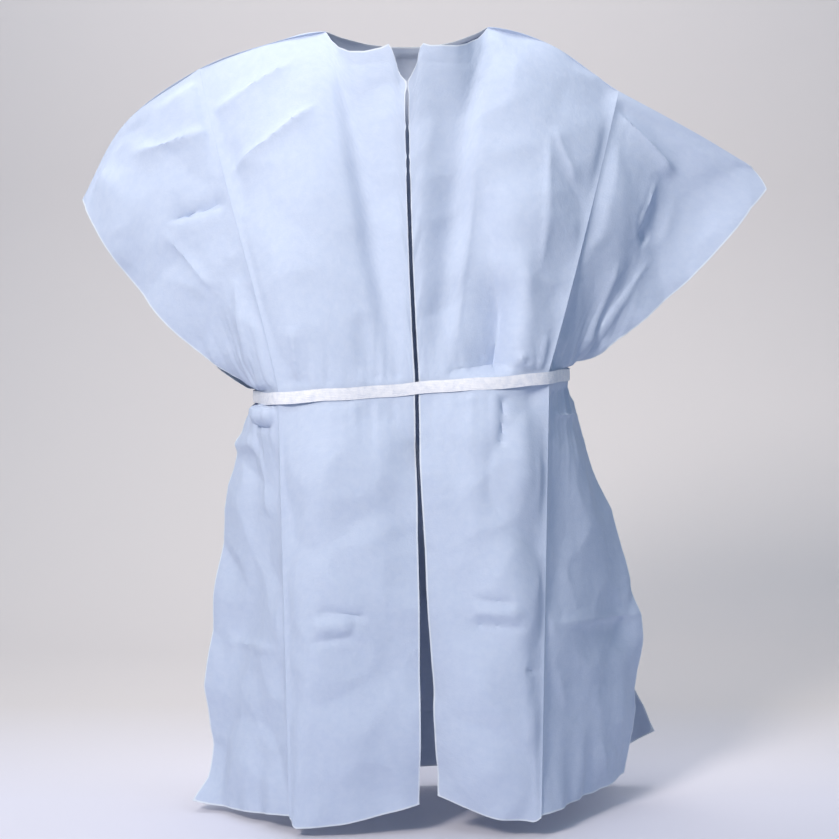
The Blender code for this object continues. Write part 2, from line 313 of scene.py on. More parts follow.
def border_share(rows: np.ndarray, border: Border) -> np.ndarray:
    """Share, from 0 to 1, of each grid line's place along a border."""
    down, across = rows.shape[:2]
    if border in ENDS:
        return np.broadcast_to(np.linspace(0, 1, across)[None, :], (down, across))
    return np.broadcast_to(np.linspace(0, 1, down)[:, None], (down, across))


def walled(piece: bpy.types.Object, thickness: float) -> bpy.types.Object:
    """The piece with a wall of this thickness, half on each side, and its modifiers baked."""
    wall = piece.modifiers.new("Wall", "SOLIDIFY")
    wall.thickness = thickness
    wall.offset = 0.0
    return baked(piece)


def grid_object(
    name: str, rows: np.ndarray, flat: np.ndarray, finish: bpy.types.Material, outward: Point | None = None
) -> bpy.types.Object:
    """A plain object on a grid of points.

    Args:
        name: Name of the object.
        rows: The points, as rows down by columns across by 3.
        flat: Each point's place on the flat sheet in metres, for the map.
        finish: The material.
        outward: The side that its faces look to, or none to keep the grid's own side.

    Returns:
        The new object, at the origin.
    """
    index = np.arange(rows.shape[0] * rows.shape[1]).reshape(rows.shape[:2])
    quads = np.stack([index[:-1, :-1], index[1:, :-1], index[1:, 1:], index[:-1, 1:]], axis=-1).reshape(-1, 4)
    if outward is not None:
        first = np.cross(np.gradient(rows, axis=0), np.gradient(rows, axis=1)).reshape(-1, 3).mean(axis=0)
        if first @ np.array(outward) < 0:
            quads = quads[:, ::-1]
    mesh = bpy.data.meshes.new(name)
    mesh.from_pydata(rows.reshape(-1, 3).tolist(), [], quads.tolist())
    mesh.materials.append(finish)
    corners = np.empty(len(mesh.loops), np.int32)
    mesh.loops.foreach_get("vertex_index", corners)
    layer = mesh.uv_layers.new(name="sheet")
    layer.data.foreach_set("uv", flat.reshape(-1, 2)[corners].reshape(-1).astype(np.float32))
    mesh.shade_smooth()
    piece = bpy.data.objects.new(name, mesh)
    bpy.context.scene.collection.objects.link(piece)
    return piece


class SheetMaker:
    """Makes panels of the tissue sheet: folds, ripples, crumple and the thin wall."""

    JOINED_FADE = {
        Border.TOP: (0.007, 0.014), Border.FOOT: (0.007, 0.014), Border.NEAR: (0.0, 0.020), Border.FAR: (0.0, 0.020),
    }  # where the folds start beside a joined border, and over how far they grow
    TENT_HEIGHT = 0.0019
    TENT_WIDTH = 0.013
    MAP_SHIFT = 0.37  # of the map for each unit of seed, so that panels don't share a grain

    def __init__(self, finish: bpy.types.Material, crumple: bpy.types.NodeTree) -> None:
        """Keeps the finish and the crumple tree that every panel shares."""
        self.finish = finish
        self.crumple = crumple

    def shaped(self, panel: Panel) -> tuple[np.ndarray, np.ndarray]:
        """The panel's grid with its outlines, folds and ripples, and how free each point is."""
        rows = panel.grid()
        if panel.neckline:
            rows = panel.neckline.pulled(rows)
        for outline in panel.outlines:
            rows = outline.pulled(rows)
        whole = np.ones(rows.shape[:2])
        fades = {
            border: smooth((border_distance(rows, border) - start) / reach)
            for border, (start, reach) in self.JOINED_FADE.items() if border in panel.joined
        }
        free = np.prod([whole, *fades.values()], axis=0)
        end_free = np.prod([whole, *(fade for border, fade in fades.items() if border in ENDS)], axis=0)
        raised = np.zeros(rows.shape[:2])
        for fold in panel.folds:
            raised += fold.heights(rows)
        for ripple in panel.ripples:
            raised += ripple.heights(rows)
        raised = raised * free
        for border in panel.tents:
            away = border_distance(rows, border) / self.TENT_WIDTH
            raised -= self.TENT_HEIGHT * away * np.exp(1.0 - away) * end_free
        return rows + grid_normals(rows, panel.outward) * raised[..., None], free

    def make(self, panel: Panel) -> bpy.types.Object:
        """The finished panel as a plain mesh, at the origin."""
        rows, free = self.shaped(panel)
        u = border_distance(rows, Border.NEAR).mean(axis=0)
        v = border_distance(rows, Border.TOP).mean(axis=1)
        flat = np.stack(np.broadcast_arrays(u[None, :] + panel.seed * self.MAP_SHIFT, -v[:, None]), axis=-1)
        piece = grid_object(panel.name, rows, flat, self.finish, panel.outward)
        # distance from the free borders, the mask of the painted edge highlight
        rim = np.ones(rows.shape[:2])
        for border in panel.rim_borders:
            rim = np.minimum(rim, border_distance(rows, border))
        if panel.neckline:
            open_top = panel.neckline.spans(rows[0, :, 0])
            rim = np.minimum(rim, np.where(open_top, border_distance(rows, Border.TOP), 1.0))
        for name, values in (("rim", rim), ("free", free)):
            layer = piece.data.attributes.new(name, "FLOAT", "POINT")
            layer.data.foreach_set("value", values.reshape(-1).astype(np.float32))
        add_tree(piece, self.crumple, {"Height": panel.crumple, "Seed": panel.seed, "Finish": self.finish})
        return walled(piece, SHEET_WALL)


# Geometry Nodes

def socket_id(tree: bpy.types.NodeTree, name: str) -> str:
    """The identifier of a tree's named input."""
    for item in tree.interface.items_tree:
        if item.item_type == "SOCKET" and item.in_out == "INPUT" and item.name == name:
            return item.identifier
    raise KeyError(name)


def add_tree(piece: bpy.types.Object, tree: bpy.types.NodeTree, values: dict[str, object]) -> None:
    """Adds a node tree to a piece as a modifier, with its named inputs set."""
    modifier = piece.modifiers.new(tree.name, "NODES")
    modifier.node_group = tree
    for name, value in values.items():
        modifier[socket_id(tree, name)] = value


def baked(piece: bpy.types.Object) -> bpy.types.Object:
    """The piece with its modifiers made part of its mesh."""
    bpy.context.view_layer.update()
    graph = bpy.context.evaluated_depsgraph_get()
    mesh = bpy.data.meshes.new_from_object(piece.evaluated_get(graph), preserve_all_data_layers=True, depsgraph=graph)
    old = piece.data
    piece.modifiers.clear()
    piece.data = mesh
    mesh.name = piece.name
    mesh.set_sharp_from_angle(angle=SHARP_ANGLE)
    bpy.data.meshes.remove(old)
    return piece


class TreeBuilder:
    """Short calls to build a Geometry Nodes tree."""

    def __init__(self, name: str) -> None:
        """Starts a tree with a geometry input and output."""
        self.tree = bpy.data.node_groups.new(name, "GeometryNodeTree")
        self.tree.interface.new_socket("Geometry", in_out="INPUT", socket_type="NodeSocketGeometry")
        self.tree.interface.new_socket("Geometry", in_out="OUTPUT", socket_type="NodeSocketGeometry")
        self.inputs = self.tree.nodes.new("NodeGroupInput")
        self.output = self.tree.nodes.new("NodeGroupOutput")

    def number(self, name: str, default: float, kind: str = "NodeSocketFloat") -> None:
        """Adds a named number input."""
        socket = self.tree.interface.new_socket(name, in_out="INPUT", socket_type=kind)
        socket.default_value = default

    def material(self, name: str) -> None:
        """Adds a named material input."""
        self.tree.interface.new_socket(name, in_out="INPUT", socket_type="NodeSocketMaterial")

    def node(self, kind: str, **settings: object) -> bpy.types.Node:
        """Adds a node and sets its properties."""
        made = self.tree.nodes.new(kind)
        for name, value in settings.items():
            setattr(made, name, value)
        return made

    def math(self, operation: str, *values: object) -> bpy.types.NodeSocket:
        """Adds a Math node on sockets or numbers, and returns its result."""
        made = self.node("ShaderNodeMath", operation=operation)
        self.fill(made, values)
        return made.outputs[0]

    def vector(self, operation: str, *values: object) -> bpy.types.NodeSocket:
        """Adds a Vector Math node, and returns its vector result."""
        made = self.node("ShaderNodeVectorMath", operation=operation)
        if operation == "SCALE":
            self.put(values[0], made.inputs[0])
            self.put(values[1], made.inputs["Scale"])
        else:
            self.fill(made, values)
        return made.outputs[0]

    def fill(self, made: bpy.types.Node, values: tuple[object, ...]) -> None:
        """Fills a node's inputs in order."""
        for value, socket in zip(values, made.inputs):
            self.put(value, socket)

    def put(self, value: object, socket: bpy.types.NodeSocket) -> None:
        """Links a socket, or sets a value."""
        if isinstance(value, bpy.types.NodeSocket):
            self.tree.links.new(value, socket)
        else:
            socket.default_value = value


CRUMPLE_SIZES = ((6.0, 1.5, 0.0), (13.0, -0.55, 0.0), (34.0, 0.10, 1.0))  # scale, share and detail
CRUMPLE_GAIN = 12.0
CRUMPLE_MEAN = 0.07
CREASE_FLOOR = 0.008
CREASE_ROUNDING = 0.012


def crumple_tree() -> bpy.types.NodeTree:
    """Tree that moves the points of a sheet along their normals, in flat facets with soft creases between."""
    build = TreeBuilder("sheet_crumple")
    build.number("Height", 0.001)
    build.number("Seed", 0.0)
    build.material("Finish")
    place = build.node("GeometryNodeInputPosition").outputs[0]
    shift = build.node("ShaderNodeCombineXYZ")
    build.put(build.inputs.outputs["Seed"], shift.inputs[0])
    moved = build.vector("ADD", place, shift.outputs[0])
    total = None
    for scale, share, detail in CRUMPLE_SIZES:
        noise = build.node("ShaderNodeTexNoise", noise_dimensions="3D")
        build.put(moved, noise.inputs["Vector"])
        noise.inputs["Scale"].default_value = scale
        noise.inputs["Detail"].default_value = detail
        centred = build.math("SUBTRACT", noise.outputs[0], 0.5)
        ridge = build.math("SMOOTH_MAX", build.math("ABSOLUTE", centred), CREASE_FLOOR, CREASE_ROUNDING)
        part = build.math("MULTIPLY", build.math("SUBTRACT", ridge, CRUMPLE_MEAN), share * CRUMPLE_GAIN)
        total = part if total is None else build.math("ADD", total, part)
    mask = build.node("GeometryNodeInputNamedAttribute", data_type="FLOAT")
    mask.inputs["Name"].default_value = "free"
    height = build.math("MULTIPLY", total, build.inputs.outputs["Height"])
    height = build.math("MULTIPLY", height, mask.outputs[0])
    normal = build.node("GeometryNodeInputNormal").outputs[0]
    move = build.node("GeometryNodeSetPosition")
    build.put(build.inputs.outputs["Geometry"], move.inputs["Geometry"])
    build.put(build.vector("SCALE", normal, height), move.inputs["Offset"])
    real = build.node("GeometryNodeRealizeInstances")
    build.put(move.outputs[0], real.inputs[0])
    dress = build.node("GeometryNodeSetMaterial")
    build.put(real.outputs[0], dress.inputs["Geometry"])
    build.put(build.inputs.outputs["Finish"], dress.inputs["Material"])
    build.put(dress.outputs[0], build.output.inputs[0])
    return build.tree


# Finishes

class Shader:
    """Short calls to build a material."""

    def __init__(self, name: str) -> None:
        """Starts a material with one Principled surface."""
        self.material = bpy.data.materials.new(name)
        self.material.use_nodes = True
        self.tree = self.material.node_tree
        self.surface = self.tree.nodes["Principled BSDF"]

    def node(self, kind: str, **settings: object) -> bpy.types.Node:
        """Adds a node and sets its properties."""
        made = self.tree.nodes.new(kind)
        for name, value in settings.items():
            setattr(made, name, value)
        return made

    def link(self, source: bpy.types.NodeSocket, target: bpy.types.NodeSocket) -> None:
        """Links two sockets."""
        self.tree.links.new(source, target)

    def see_through_from_behind(self) -> None:
        """Leaves out the back of each face, so that a backdrop hides nothing from the other side."""
        blend = self.node("ShaderNodeMixShader")
        self.link(self.node("ShaderNodeNewGeometry").outputs["Backfacing"], blend.inputs[0])
        self.link(self.surface.outputs[0], blend.inputs[1])
        self.link(self.node("ShaderNodeBsdfTransparent").outputs[0], blend.inputs[2])
        self.link(blend.outputs[0], self.tree.nodes["Material Output"].inputs["Surface"])

    def noise(
        self, vector: bpy.types.NodeSocket, scale: float, detail: float, rough: float = 0.5
    ) -> bpy.types.NodeSocket:
        """Adds noise on a vector, and returns its value."""
        made = self.node("ShaderNodeTexNoise")
        self.link(vector, made.inputs["Vector"])
        made.inputs["Scale"].default_value = scale
        made.inputs["Detail"].default_value = detail
        made.inputs["Roughness"].default_value = rough
        return made.outputs[0]

    def ranged(
        self, value: bpy.types.NodeSocket, low: float, high: float, to_low: float, to_high: float
    ) -> bpy.types.NodeSocket:
        """Maps a value from one range to another, clamped."""
        made = self.node("ShaderNodeMapRange")
        self.link(value, made.inputs["Value"])
        for name, number in (("From Min", low), ("From Max", high), ("To Min", to_low), ("To Max", to_high)):
            made.inputs[name].default_value = number
        return made.outputs[0]

    def mix(self, share: bpy.types.NodeSocket, first: object, second: object) -> bpy.types.NodeSocket:
        """Mixes two colours, each a socket or a value."""
        made = self.node("ShaderNodeMix", data_type="RGBA")
        self.link(share, made.inputs[0])
        for value, socket in ((first, made.inputs[6]), (second, made.inputs[7])):
            if isinstance(value, bpy.types.NodeSocket):
                self.link(value, socket)
            else:
                socket.default_value = value
        return made.outputs[2]

    def bump(
        self, height: bpy.types.NodeSocket, distance: float, below: bpy.types.NodeSocket | None = None
    ) -> bpy.types.NodeSocket:
        """Adds a bump of a height in metres, on top of another normal."""
        made = self.node("ShaderNodeBump")
        made.inputs["Distance"].default_value = distance
        self.link(height, made.inputs["Height"])
        if below is not None:
            self.link(below, made.inputs["Normal"])
        return made.outputs[0]


@dataclass(frozen=True)
class TissueFinish:
    """Pale blue bonded tissue: matt, faintly mottled, with a crepe grain and a painted highlight along its cut edges.
    """

    name: str = "tissue_sheet"
    blue: tuple[float, ...] = (0.540, 0.605, 0.745, 1.0)
    thin: tuple[float, ...] = (0.500, 0.572, 0.725, 1.0)
    # painted highlight: the lighter colour of the band along the free edges
    edge: tuple[float, ...] = (0.70, 0.745, 0.82, 1.0)
    edge_highlight_width: float = 0.0026
    crepe_scale: float = 420.0
    cloud_scale: float = 95.0
    crepe_height: float = 0.00030
    cloud_height: float = 0.00050
    roughness: float = 0.82
    sheen: float = 0.12

    def make(self) -> bpy.types.Material:
        """The material."""
        paint = Shader(self.name)
        place = paint.node("ShaderNodeUVMap", uv_map="sheet").outputs[0]
        cloud = paint.noise(place, self.cloud_scale, 4.0, 0.6)
        fibre = paint.noise(place, self.crepe_scale, 3.0, 0.65)
        mottle = paint.mix(paint.ranged(cloud, 0.32, 0.68, 0.0, 1.0), self.thin, self.blue)
        speck = paint.mix(paint.ranged(fibre, 0.30, 0.52, 0.45, 0.0), mottle, self.thin)
        rim = paint.node("ShaderNodeAttribute", attribute_name="rim")
        # painted highlight: the band along the free edges is mixed toward the edge colour, fading out away from them
        edge_highlight = paint.ranged(rim.outputs["Fac"], self.edge_highlight_width * 0.5, self.edge_highlight_width, 1.0, 0.0)
        paint.link(paint.mix(edge_highlight, speck, self.edge), paint.surface.inputs["Base Color"])
        normal = paint.bump(cloud, self.cloud_height)
        normal = paint.bump(fibre, self.crepe_height, normal)
        paint.link(normal, paint.surface.inputs["Normal"])
        rough = paint.ranged(fibre, 0.3, 0.7, self.roughness - 0.06, self.roughness + 0.06)
        paint.link(rough, paint.surface.inputs["Roughness"])
        paint.surface.inputs["Sheen Weight"].default_value = self.sheen
        paint.surface.inputs["Specular IOR Level"].default_value = 0.25
        return paint.material


@dataclass(frozen=True)
class StripFinish:
    """White bonded strip of the belt: satin, with fine lengthwise ribs and painted shade in the hollows of its
    wrinkles.
    """

    name: str = "belt_strip"
    white: tuple[float, ...] = (0.84, 0.84, 0.88, 1.0)
    # painted shade, for the hollows of the wrinkles
    shade: tuple[float, ...] = (0.70, 0.72, 0.80, 1.0)
    rib_scale: float = 900.0
    rib_height: float = 0.00012
    wrinkle_scale: float = 130.0
    wrinkle_height: float = 0.0009
    roughness: float = 0.5
    sheen: float = 0.05

    def make(self) -> bpy.types.Material:
        """The material."""
        paint = Shader(self.name)
        place = paint.node("ShaderNodeUVMap", uv_map="sheet").outputs[0]
        wave = paint.node("ShaderNodeTexWave", bands_direction="Y")
        paint.link(place, wave.inputs["Vector"])
        wave.inputs["Scale"].default_value = self.rib_scale / (2 * math.pi)
        wave.inputs["Distortion"].default_value = 1.2
        wrinkle = paint.noise(place, self.wrinkle_scale, 4.0, 0.6)
        # painted shade where the wrinkle noise is low, in the hollows that its bump sinks
        colour = paint.mix(paint.ranged(wrinkle, 0.3, 0.6, 0.0, 1.0), self.shade, self.white)
        paint.link(colour, paint.surface.inputs["Base Color"])
        normal = paint.bump(wave.outputs[1], self.rib_height)
        normal = paint.bump(wrinkle, self.wrinkle_height, normal)
        paint.link(normal, paint.surface.inputs["Normal"])
        rough = paint.ranged(wrinkle, 0.3, 0.7, self.roughness - 0.08, self.roughness + 0.1)
        paint.link(rough, paint.surface.inputs["Roughness"])
        paint.surface.inputs["Sheen Weight"].default_value = self.sheen
        return paint.material


# The waist

WAIST: dict[Side, dict[str, Spot]] = {
    Side.LEFT: {
        "slit": (0.012, -0.131), "notch": (0.019, -0.1315), "fold": (0.034, -0.1325),
        "neck": (0.056, -0.1345), "shoulder": (0.115, -0.137), "crease": (0.182, -0.115),
        "wing": (0.202, -0.072), "edge": (0.213, -0.030),
    },
    Side.RIGHT: {
        "slit": (0.007, -0.131), "notch": (-0.001, -0.1315), "fold": (-0.016, -0.1325),
        "neck": (-0.040, -0.1345), "shoulder": (-0.105, -0.139), "crease": (-0.171, -0.119),
        "wing": (-0.192, -0.078), "edge": (-0.203, -0.036),
    },
}
WAIST_BACK: dict[str, Spot] = {
    "edge": (0.212, 0.014), "wing": (0.196, 0.056), "crease": (0.160, 0.090),
    "shoulder": (0.085, 0.106), "neck": (0.045, 0.109), "centre": (0.000, 0.110),
}


def waist_point(plan: Spot, lift: float = 0.0) -> Point:
    """A point over the waist's plan, on the slanting line of the belt."""
    x, y = plan
    return (x, y, WAIST_HEIGHT + WAIST_SLOPE * x + lift)


def swing(top: Point, foot: Point, corner: Point) -> tuple[Vector, Vector]:
    """The point of a fold line that is level with a corner, and the corner."""
    top, foot, corner = Vector(top), Vector(foot), Vector(corner)
    axis = (foot - top).normalized()
    return top + axis * (corner - top).dot(axis), corner


def beside(spot: tuple[float, ...], side: Side) -> tuple[float, ...]:
    """A left spot as it is, or mirrored to the right."""
    return (side.value * spot[0], *spot[1:])


@dataclass(frozen=True)
class Neckline:
    """The die-cut neck opening of one side, as points from the slit's top to the shoulder fold."""

    points: tuple[Point, ...]
    reach: float = 0.060  # of the pull into the panel
    margin: float = 0.002  # past the opening's ends

    def spans(self, x: np.ndarray) -> np.ndarray:
        """Whether each x lies on the opening."""
        ends = [point[0] for point in self.points]
        return (x > min(ends) - self.margin) & (x < max(ends) + self.margin)

    def pulled(self, rows: np.ndarray) -> np.ndarray:
        """The grid with its top border on the neckline, by x."""
        points = np.array(sorted(self.points))
        x = rows[0, :, 0]
        inside = self.spans(x)
        target = np.stack([x, *(np.interp(x, points[:, 0], points[:, axis]) for axis in (1, 2))], axis=1)
        pull = np.where(inside[:, None], target - rows[0], 0.0)
        fade = 1.0 - smooth(border_distance(rows, Border.TOP) / self.reach)
        return rows + pull[None, :, :] * fade[..., None]


@dataclass
class UpperSheet:
    """The sheet above the belt on one side: the chest with its lapel, the sleeve and the back's columns."""

    maker: SheetMaker
    side: Side

    LEFT_COLUMNS = {
        "slit": ((-0.001, -0.087, -0.082), (-0.001, -0.110, -0.200), (0.005, -0.128, -0.360)),
        "notch": ((0.018, -0.076, -0.030), (0.016, -0.105, -0.180), (0.017, -0.126, -0.340)),
        "neck": ((0.105, 0.000, 0.000), (0.106, -0.105, -0.075), (0.075, -0.128, -0.330)),
        "shoulder": ((0.190, 0.000, -0.024), (0.190, -0.095, -0.110), (0.148, -0.138, -0.330)),
        "crease": ((0.282, 0.000, -0.086), (0.258, -0.050, -0.180), (0.215, -0.108, -0.345)),
        "wing": ((0.381, 0.000, -0.139), (0.352, 0.028, -0.215), (0.262, -0.008, -0.365)),
        "edge": ((0.462, 0.000, -0.187), (0.515, -0.002, -0.252), (0.305, 0.000, -0.415)),
    }
    RIGHT_COLUMNS = {
        "slit": ((-0.006, -0.087, -0.082), (-0.006, -0.110, -0.200), (0.000, -0.128, -0.360)),
        "notch": ((-0.027, -0.076, -0.033), (-0.022, -0.105, -0.180), (-0.006, -0.126, -0.340)),
        "neck": ((-0.113, 0.000, -0.006), (-0.114, -0.105, -0.080), (-0.066, -0.128, -0.335)),
        "shoulder": ((-0.196, 0.000, -0.024), (-0.192, -0.095, -0.115), (-0.135, -0.140, -0.340)),
        "crease": ((-0.284, 0.000, -0.056), (-0.254, -0.062, -0.190), (-0.195, -0.112, -0.370)),
        "wing": ((-0.386, 0.000, -0.130), (-0.352, -0.026, -0.240), (-0.240, -0.060, -0.400)),
        "edge": ((-0.444, 0.000, -0.232), (-0.415, -0.010, -0.320), (-0.300, -0.020, -0.450)),
    }
    LAPEL_FOLD_TOP = {Side.LEFT: (0.068, -0.064, -0.031), Side.RIGHT: (-0.077, -0.064, -0.038)}
    NECKLINES = {
        Side.LEFT: Neckline((
            (-0.001, -0.087, -0.082), (0.006, -0.083, -0.064), (0.011, -0.079, -0.050), (0.015, -0.076, -0.032),
            (0.026, -0.075, -0.035), (0.043, -0.073, -0.034), (0.062, -0.066, -0.033), (0.077, -0.052, -0.028),
            (0.093, -0.028, -0.017), (0.105, 0.000, 0.000),
        )),
        Side.RIGHT: Neckline((
            (-0.006, -0.087, -0.082), (-0.014, -0.083, -0.070), (-0.021, -0.079, -0.046), (-0.026, -0.076, -0.032),
            (-0.036, -0.075, -0.037), (-0.059, -0.068, -0.041), (-0.079, -0.056, -0.039), (-0.095, -0.036, -0.031),
            (-0.105, -0.018, -0.020), (-0.113, 0.000, -0.006),
        )),
    }
    BACK_HANDLES = {
        "edge": ((0.045, -0.050), (0.062, 0.040)),
        "wing": ((0.055, -0.075), (0.080, 0.080)),
        "crease": ((0.070, -0.085), (0.095, 0.110)),
        "shoulder": ((0.100, -0.085), (0.118, 0.130)),
        "neck": ((0.100, -0.075), (0.120, 0.140)),
    }
    CHEST_CRUMPLE = {Side.LEFT: 0.0016, Side.RIGHT: 0.0010}
    SLIT_STATIONS = (
        (0.0, -0.0021), (0.025, -0.0021), (0.045, -0.0004), (0.14, -0.0002), (0.16, -0.0013), (0.175, -0.0002),
        (0.24, -0.0001), (0.255, -0.0012), (0.27, 0.0), (0.30, -0.0008), (0.32, 0.0), (1.0, 0.0),
    )
    TIP_OUTLINE = {
        Side.LEFT: (
            (0.0, (-0.006, 0, 0.004)), (0.06, (0.004, 0, 0.0)), (0.13, (0.013, 0, 0)), (0.22, (0.000, 0, 0)),
            (0.40, (-0.004, 0, 0)), (0.7, (0, 0, 0)), (1.0, (0, 0, 0)),
        ),
        Side.RIGHT: ((0.0, (0, 0, 0)), (0.25, (0.004, 0, 0)), (0.6, (0, 0, 0)), (1.0, (0, 0, 0))),
    }
    CHEST_FOLDS = {
        Side.LEFT: (
            Fold((0.018, -0.057), (0.084, -0.056), -0.0010, 0.004, CREASED),
            Fold((0.080, -0.170), (0.120, -0.430), -0.0170, 0.032, skew=-0.25, fade=0.35),
            Fold((0.137, -0.310), (0.106, -0.540), -0.0440, 0.036, skew=-0.44, fade=0.40),
            Fold((0.186, -0.132), (0.172, -0.340), 0.0042, 0.014, CREASED, skew=0.3),
            Fold((0.188, -0.136), (0.222, -0.220), 0.0040, 0.010, CREASED, skew=0.4),
            Fold((0.156, -0.290), (0.130, -0.500), 0.0090, 0.018, skew=-0.2, fade=0.35),
            Fold((0.111, -0.424), (0.113, -0.478), -0.0060, 0.005, CREASED),
            Fold((0.124, -0.478), (0.152, -0.432), 0.0060, 0.007, CREASED),
            Fold((0.178, -0.410), (0.168, -0.480), 0.0040, 0.006, CREASED),
        ),
        Side.RIGHT: (
            Fold((-0.018, -0.057), (-0.088, -0.058), -0.0010, 0.004, CREASED),
            Fold((-0.150, -0.046), (-0.272, -0.126), 0.0080, 0.016, CREASED, skew=0.4),
            Fold((-0.118, -0.104), (-0.244, -0.204), 0.0095, 0.018, CREASED, skew=0.5),
            Fold((-0.244, -0.150), (-0.214, -0.260), -0.0040, 0.014),
            Fold((-0.180, -0.250), (-0.142, -0.478), 0.0060, 0.026, fade=0.35),
            Fold((-0.150, -0.400), (-0.146, -0.475), 0.0050, 0.009, CREASED),
            Fold((-0.060, -0.380), (-0.058, -0.475), -0.0035, 0.012),
        ),
    }
    SLEEVE_FOLDS = {
        Side.LEFT: (
            Fold((0.276, -0.108), (0.366, -0.200), 0.0110, 0.018, CREASED, skew=-0.5),
            Fold((0.334, -0.200), (0.292, -0.272), 0.0050, 0.014, CREASED, skew=0.4),
            Fold((0.420, -0.170), (0.350, -0.400), -0.0110, 0.050, skew=-0.35, fade=0.35),
            Fold((0.284, -0.120), (0.262, -0.430), 0.0230, 0.060, skew=0.45, fade=0.40),
            Fold((0.296, -0.270), (0.318, -0.292), -0.0045, 0.009),
            Fold((0.264, -0.300), (0.226, -0.450), 0.0080, 0.014, CREASED),
            Fold((0.330, -0.310), (0.240, -0.420), 0.0050, 0.012, CREASED),
        ),
        Side.RIGHT: (
            Fold((-0.262, -0.142), (-0.378, -0.172), 0.0110, 0.016, CREASED, skew=0.4),
            Fold((-0.326, -0.266), (-0.240, -0.234), -0.0120, 0.014, CREASED, skew=0.6),
            Fold((-0.336, -0.268), (-0.256, -0.360), 0.0080, 0.018, CREASED, skew=-0.3),
            Fold((-0.234, -0.330), (-0.206, -0.470), 0.0070, 0.012, CREASED),
            Fold((-0.410, -0.180), (-0.372, -0.330), 0.0060, 0.026),
        ),
    }

    def start(self, name: str) -> tuple[Point, Point, Point]:
        """The start and handles of a front column."""
        return (self.LEFT_COLUMNS if self.side is Side.LEFT else self.RIGHT_COLUMNS)[name]

    def front(self, name: str) -> Column:
        """A column of the front, down to the top of the band under the belt."""
        return Column(*self.start(name), waist_point(WAIST[self.side][name], BELT_COVER))

    def back(self, name: str) -> Column:
        """A column of the back, from the shoulder fold down."""
        start, pull, belt_pull = self.start(name)
        (depth, drop), (belt_depth, belt_rise) = self.BACK_HANDLES[name]
        foot = waist_point(beside(WAIST_BACK[name], self.side), BELT_COVER)
        return Column(
            start, (pull[0], depth, start[2] + drop), (belt_pull[0], belt_depth, foot[2] + belt_rise), foot
        )

    def chest(self) -> bpy.types.Object:
        """The front from the slit to the factory crease, with the lapel in it."""
        panel = Panel(
            f"front_upper_{self.side.word}",
            (
                *(self.front(name) for name in ("slit", "notch")),
                Column.straight(self.LAPEL_FOLD_TOP[self.side], waist_point(WAIST[self.side]["fold"], BELT_COVER)),
                *(self.front(name) for name in ("neck", "shoulder", "crease")),
            ),
            outward=(0, -1, 0.1),
            neckline=self.NECKLINES[self.side],
            band=-BELT_COVER,
            joined=frozenset({Border.FAR, Border.FOOT}),
            tents=frozenset({Border.FAR}),
            crumple=self.CHEST_CRUMPLE[self.side],
            outlines=(Outline(Border.NEAR, tuple(
                (share, (self.side.value * x, 0, 0)) for share, x in self.SLIT_STATIONS), 0.010),),
            folds=self.CHEST_FOLDS[self.side],
            ripples=(
                Ripple(Border.NEAR, 0.0010, 0.110, 0.030, 0.6 + self.side.value),
                Ripple(Border.FOOT, 0.0018, 0.030, 0.035, 0.9 + self.side.value),
            ),
            rim_borders=frozenset({Border.NEAR}),
            seed=1.0 + self.side.value,
        )
        piece = self.maker.make(panel)
        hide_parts(f"chest_panel_{self.side.word}", f"lapel_{self.side.word}")
        return piece

    def lapel_swing(self) -> tuple[Vector, Vector]:
        """Where the lapel starts to turn, beside the slit's top, and its outermost corner."""
        foot = waist_point(WAIST[self.side]["slit"])
        return swing(self.LAPEL_FOLD_TOP[self.side], foot, self.start("slit")[0])

    def sleeve(self) -> bpy.types.Object:
        """The front layer of the open sleeve, from the factory crease to the side edge."""
        panel = Panel(
            f"sleeve_front_{self.side.word}_sheet",
            tuple(self.front(name) for name in ("crease", "wing", "edge")),
            outward=(0.2 * self.side.value, -1, -0.1),
            band=-BELT_COVER,
            joined=frozenset({Border.NEAR, Border.FOOT, Border.TOP}),
            tents=frozenset({Border.NEAR}),
            folds=self.SLEEVE_FOLDS[self.side],
            ripples=(
                Ripple(Border.FAR, 0.0022, 0.190, 0.040, 1.4 + self.side.value),
                Ripple(Border.FOOT, 0.0030, 0.026, 0.050, 0.2 + self.side.value),
            ),
            outlines=(Outline(Border.FAR, self.TIP_OUTLINE[self.side], 0.050),),
            rim_borders=frozenset({Border.FAR}),
            crumple=0.0022,
            seed=4.0 + self.side.value,
        )
        piece = self.maker.make(panel)
        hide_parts(f"sleeve_front_{self.side.word}")
        return piece


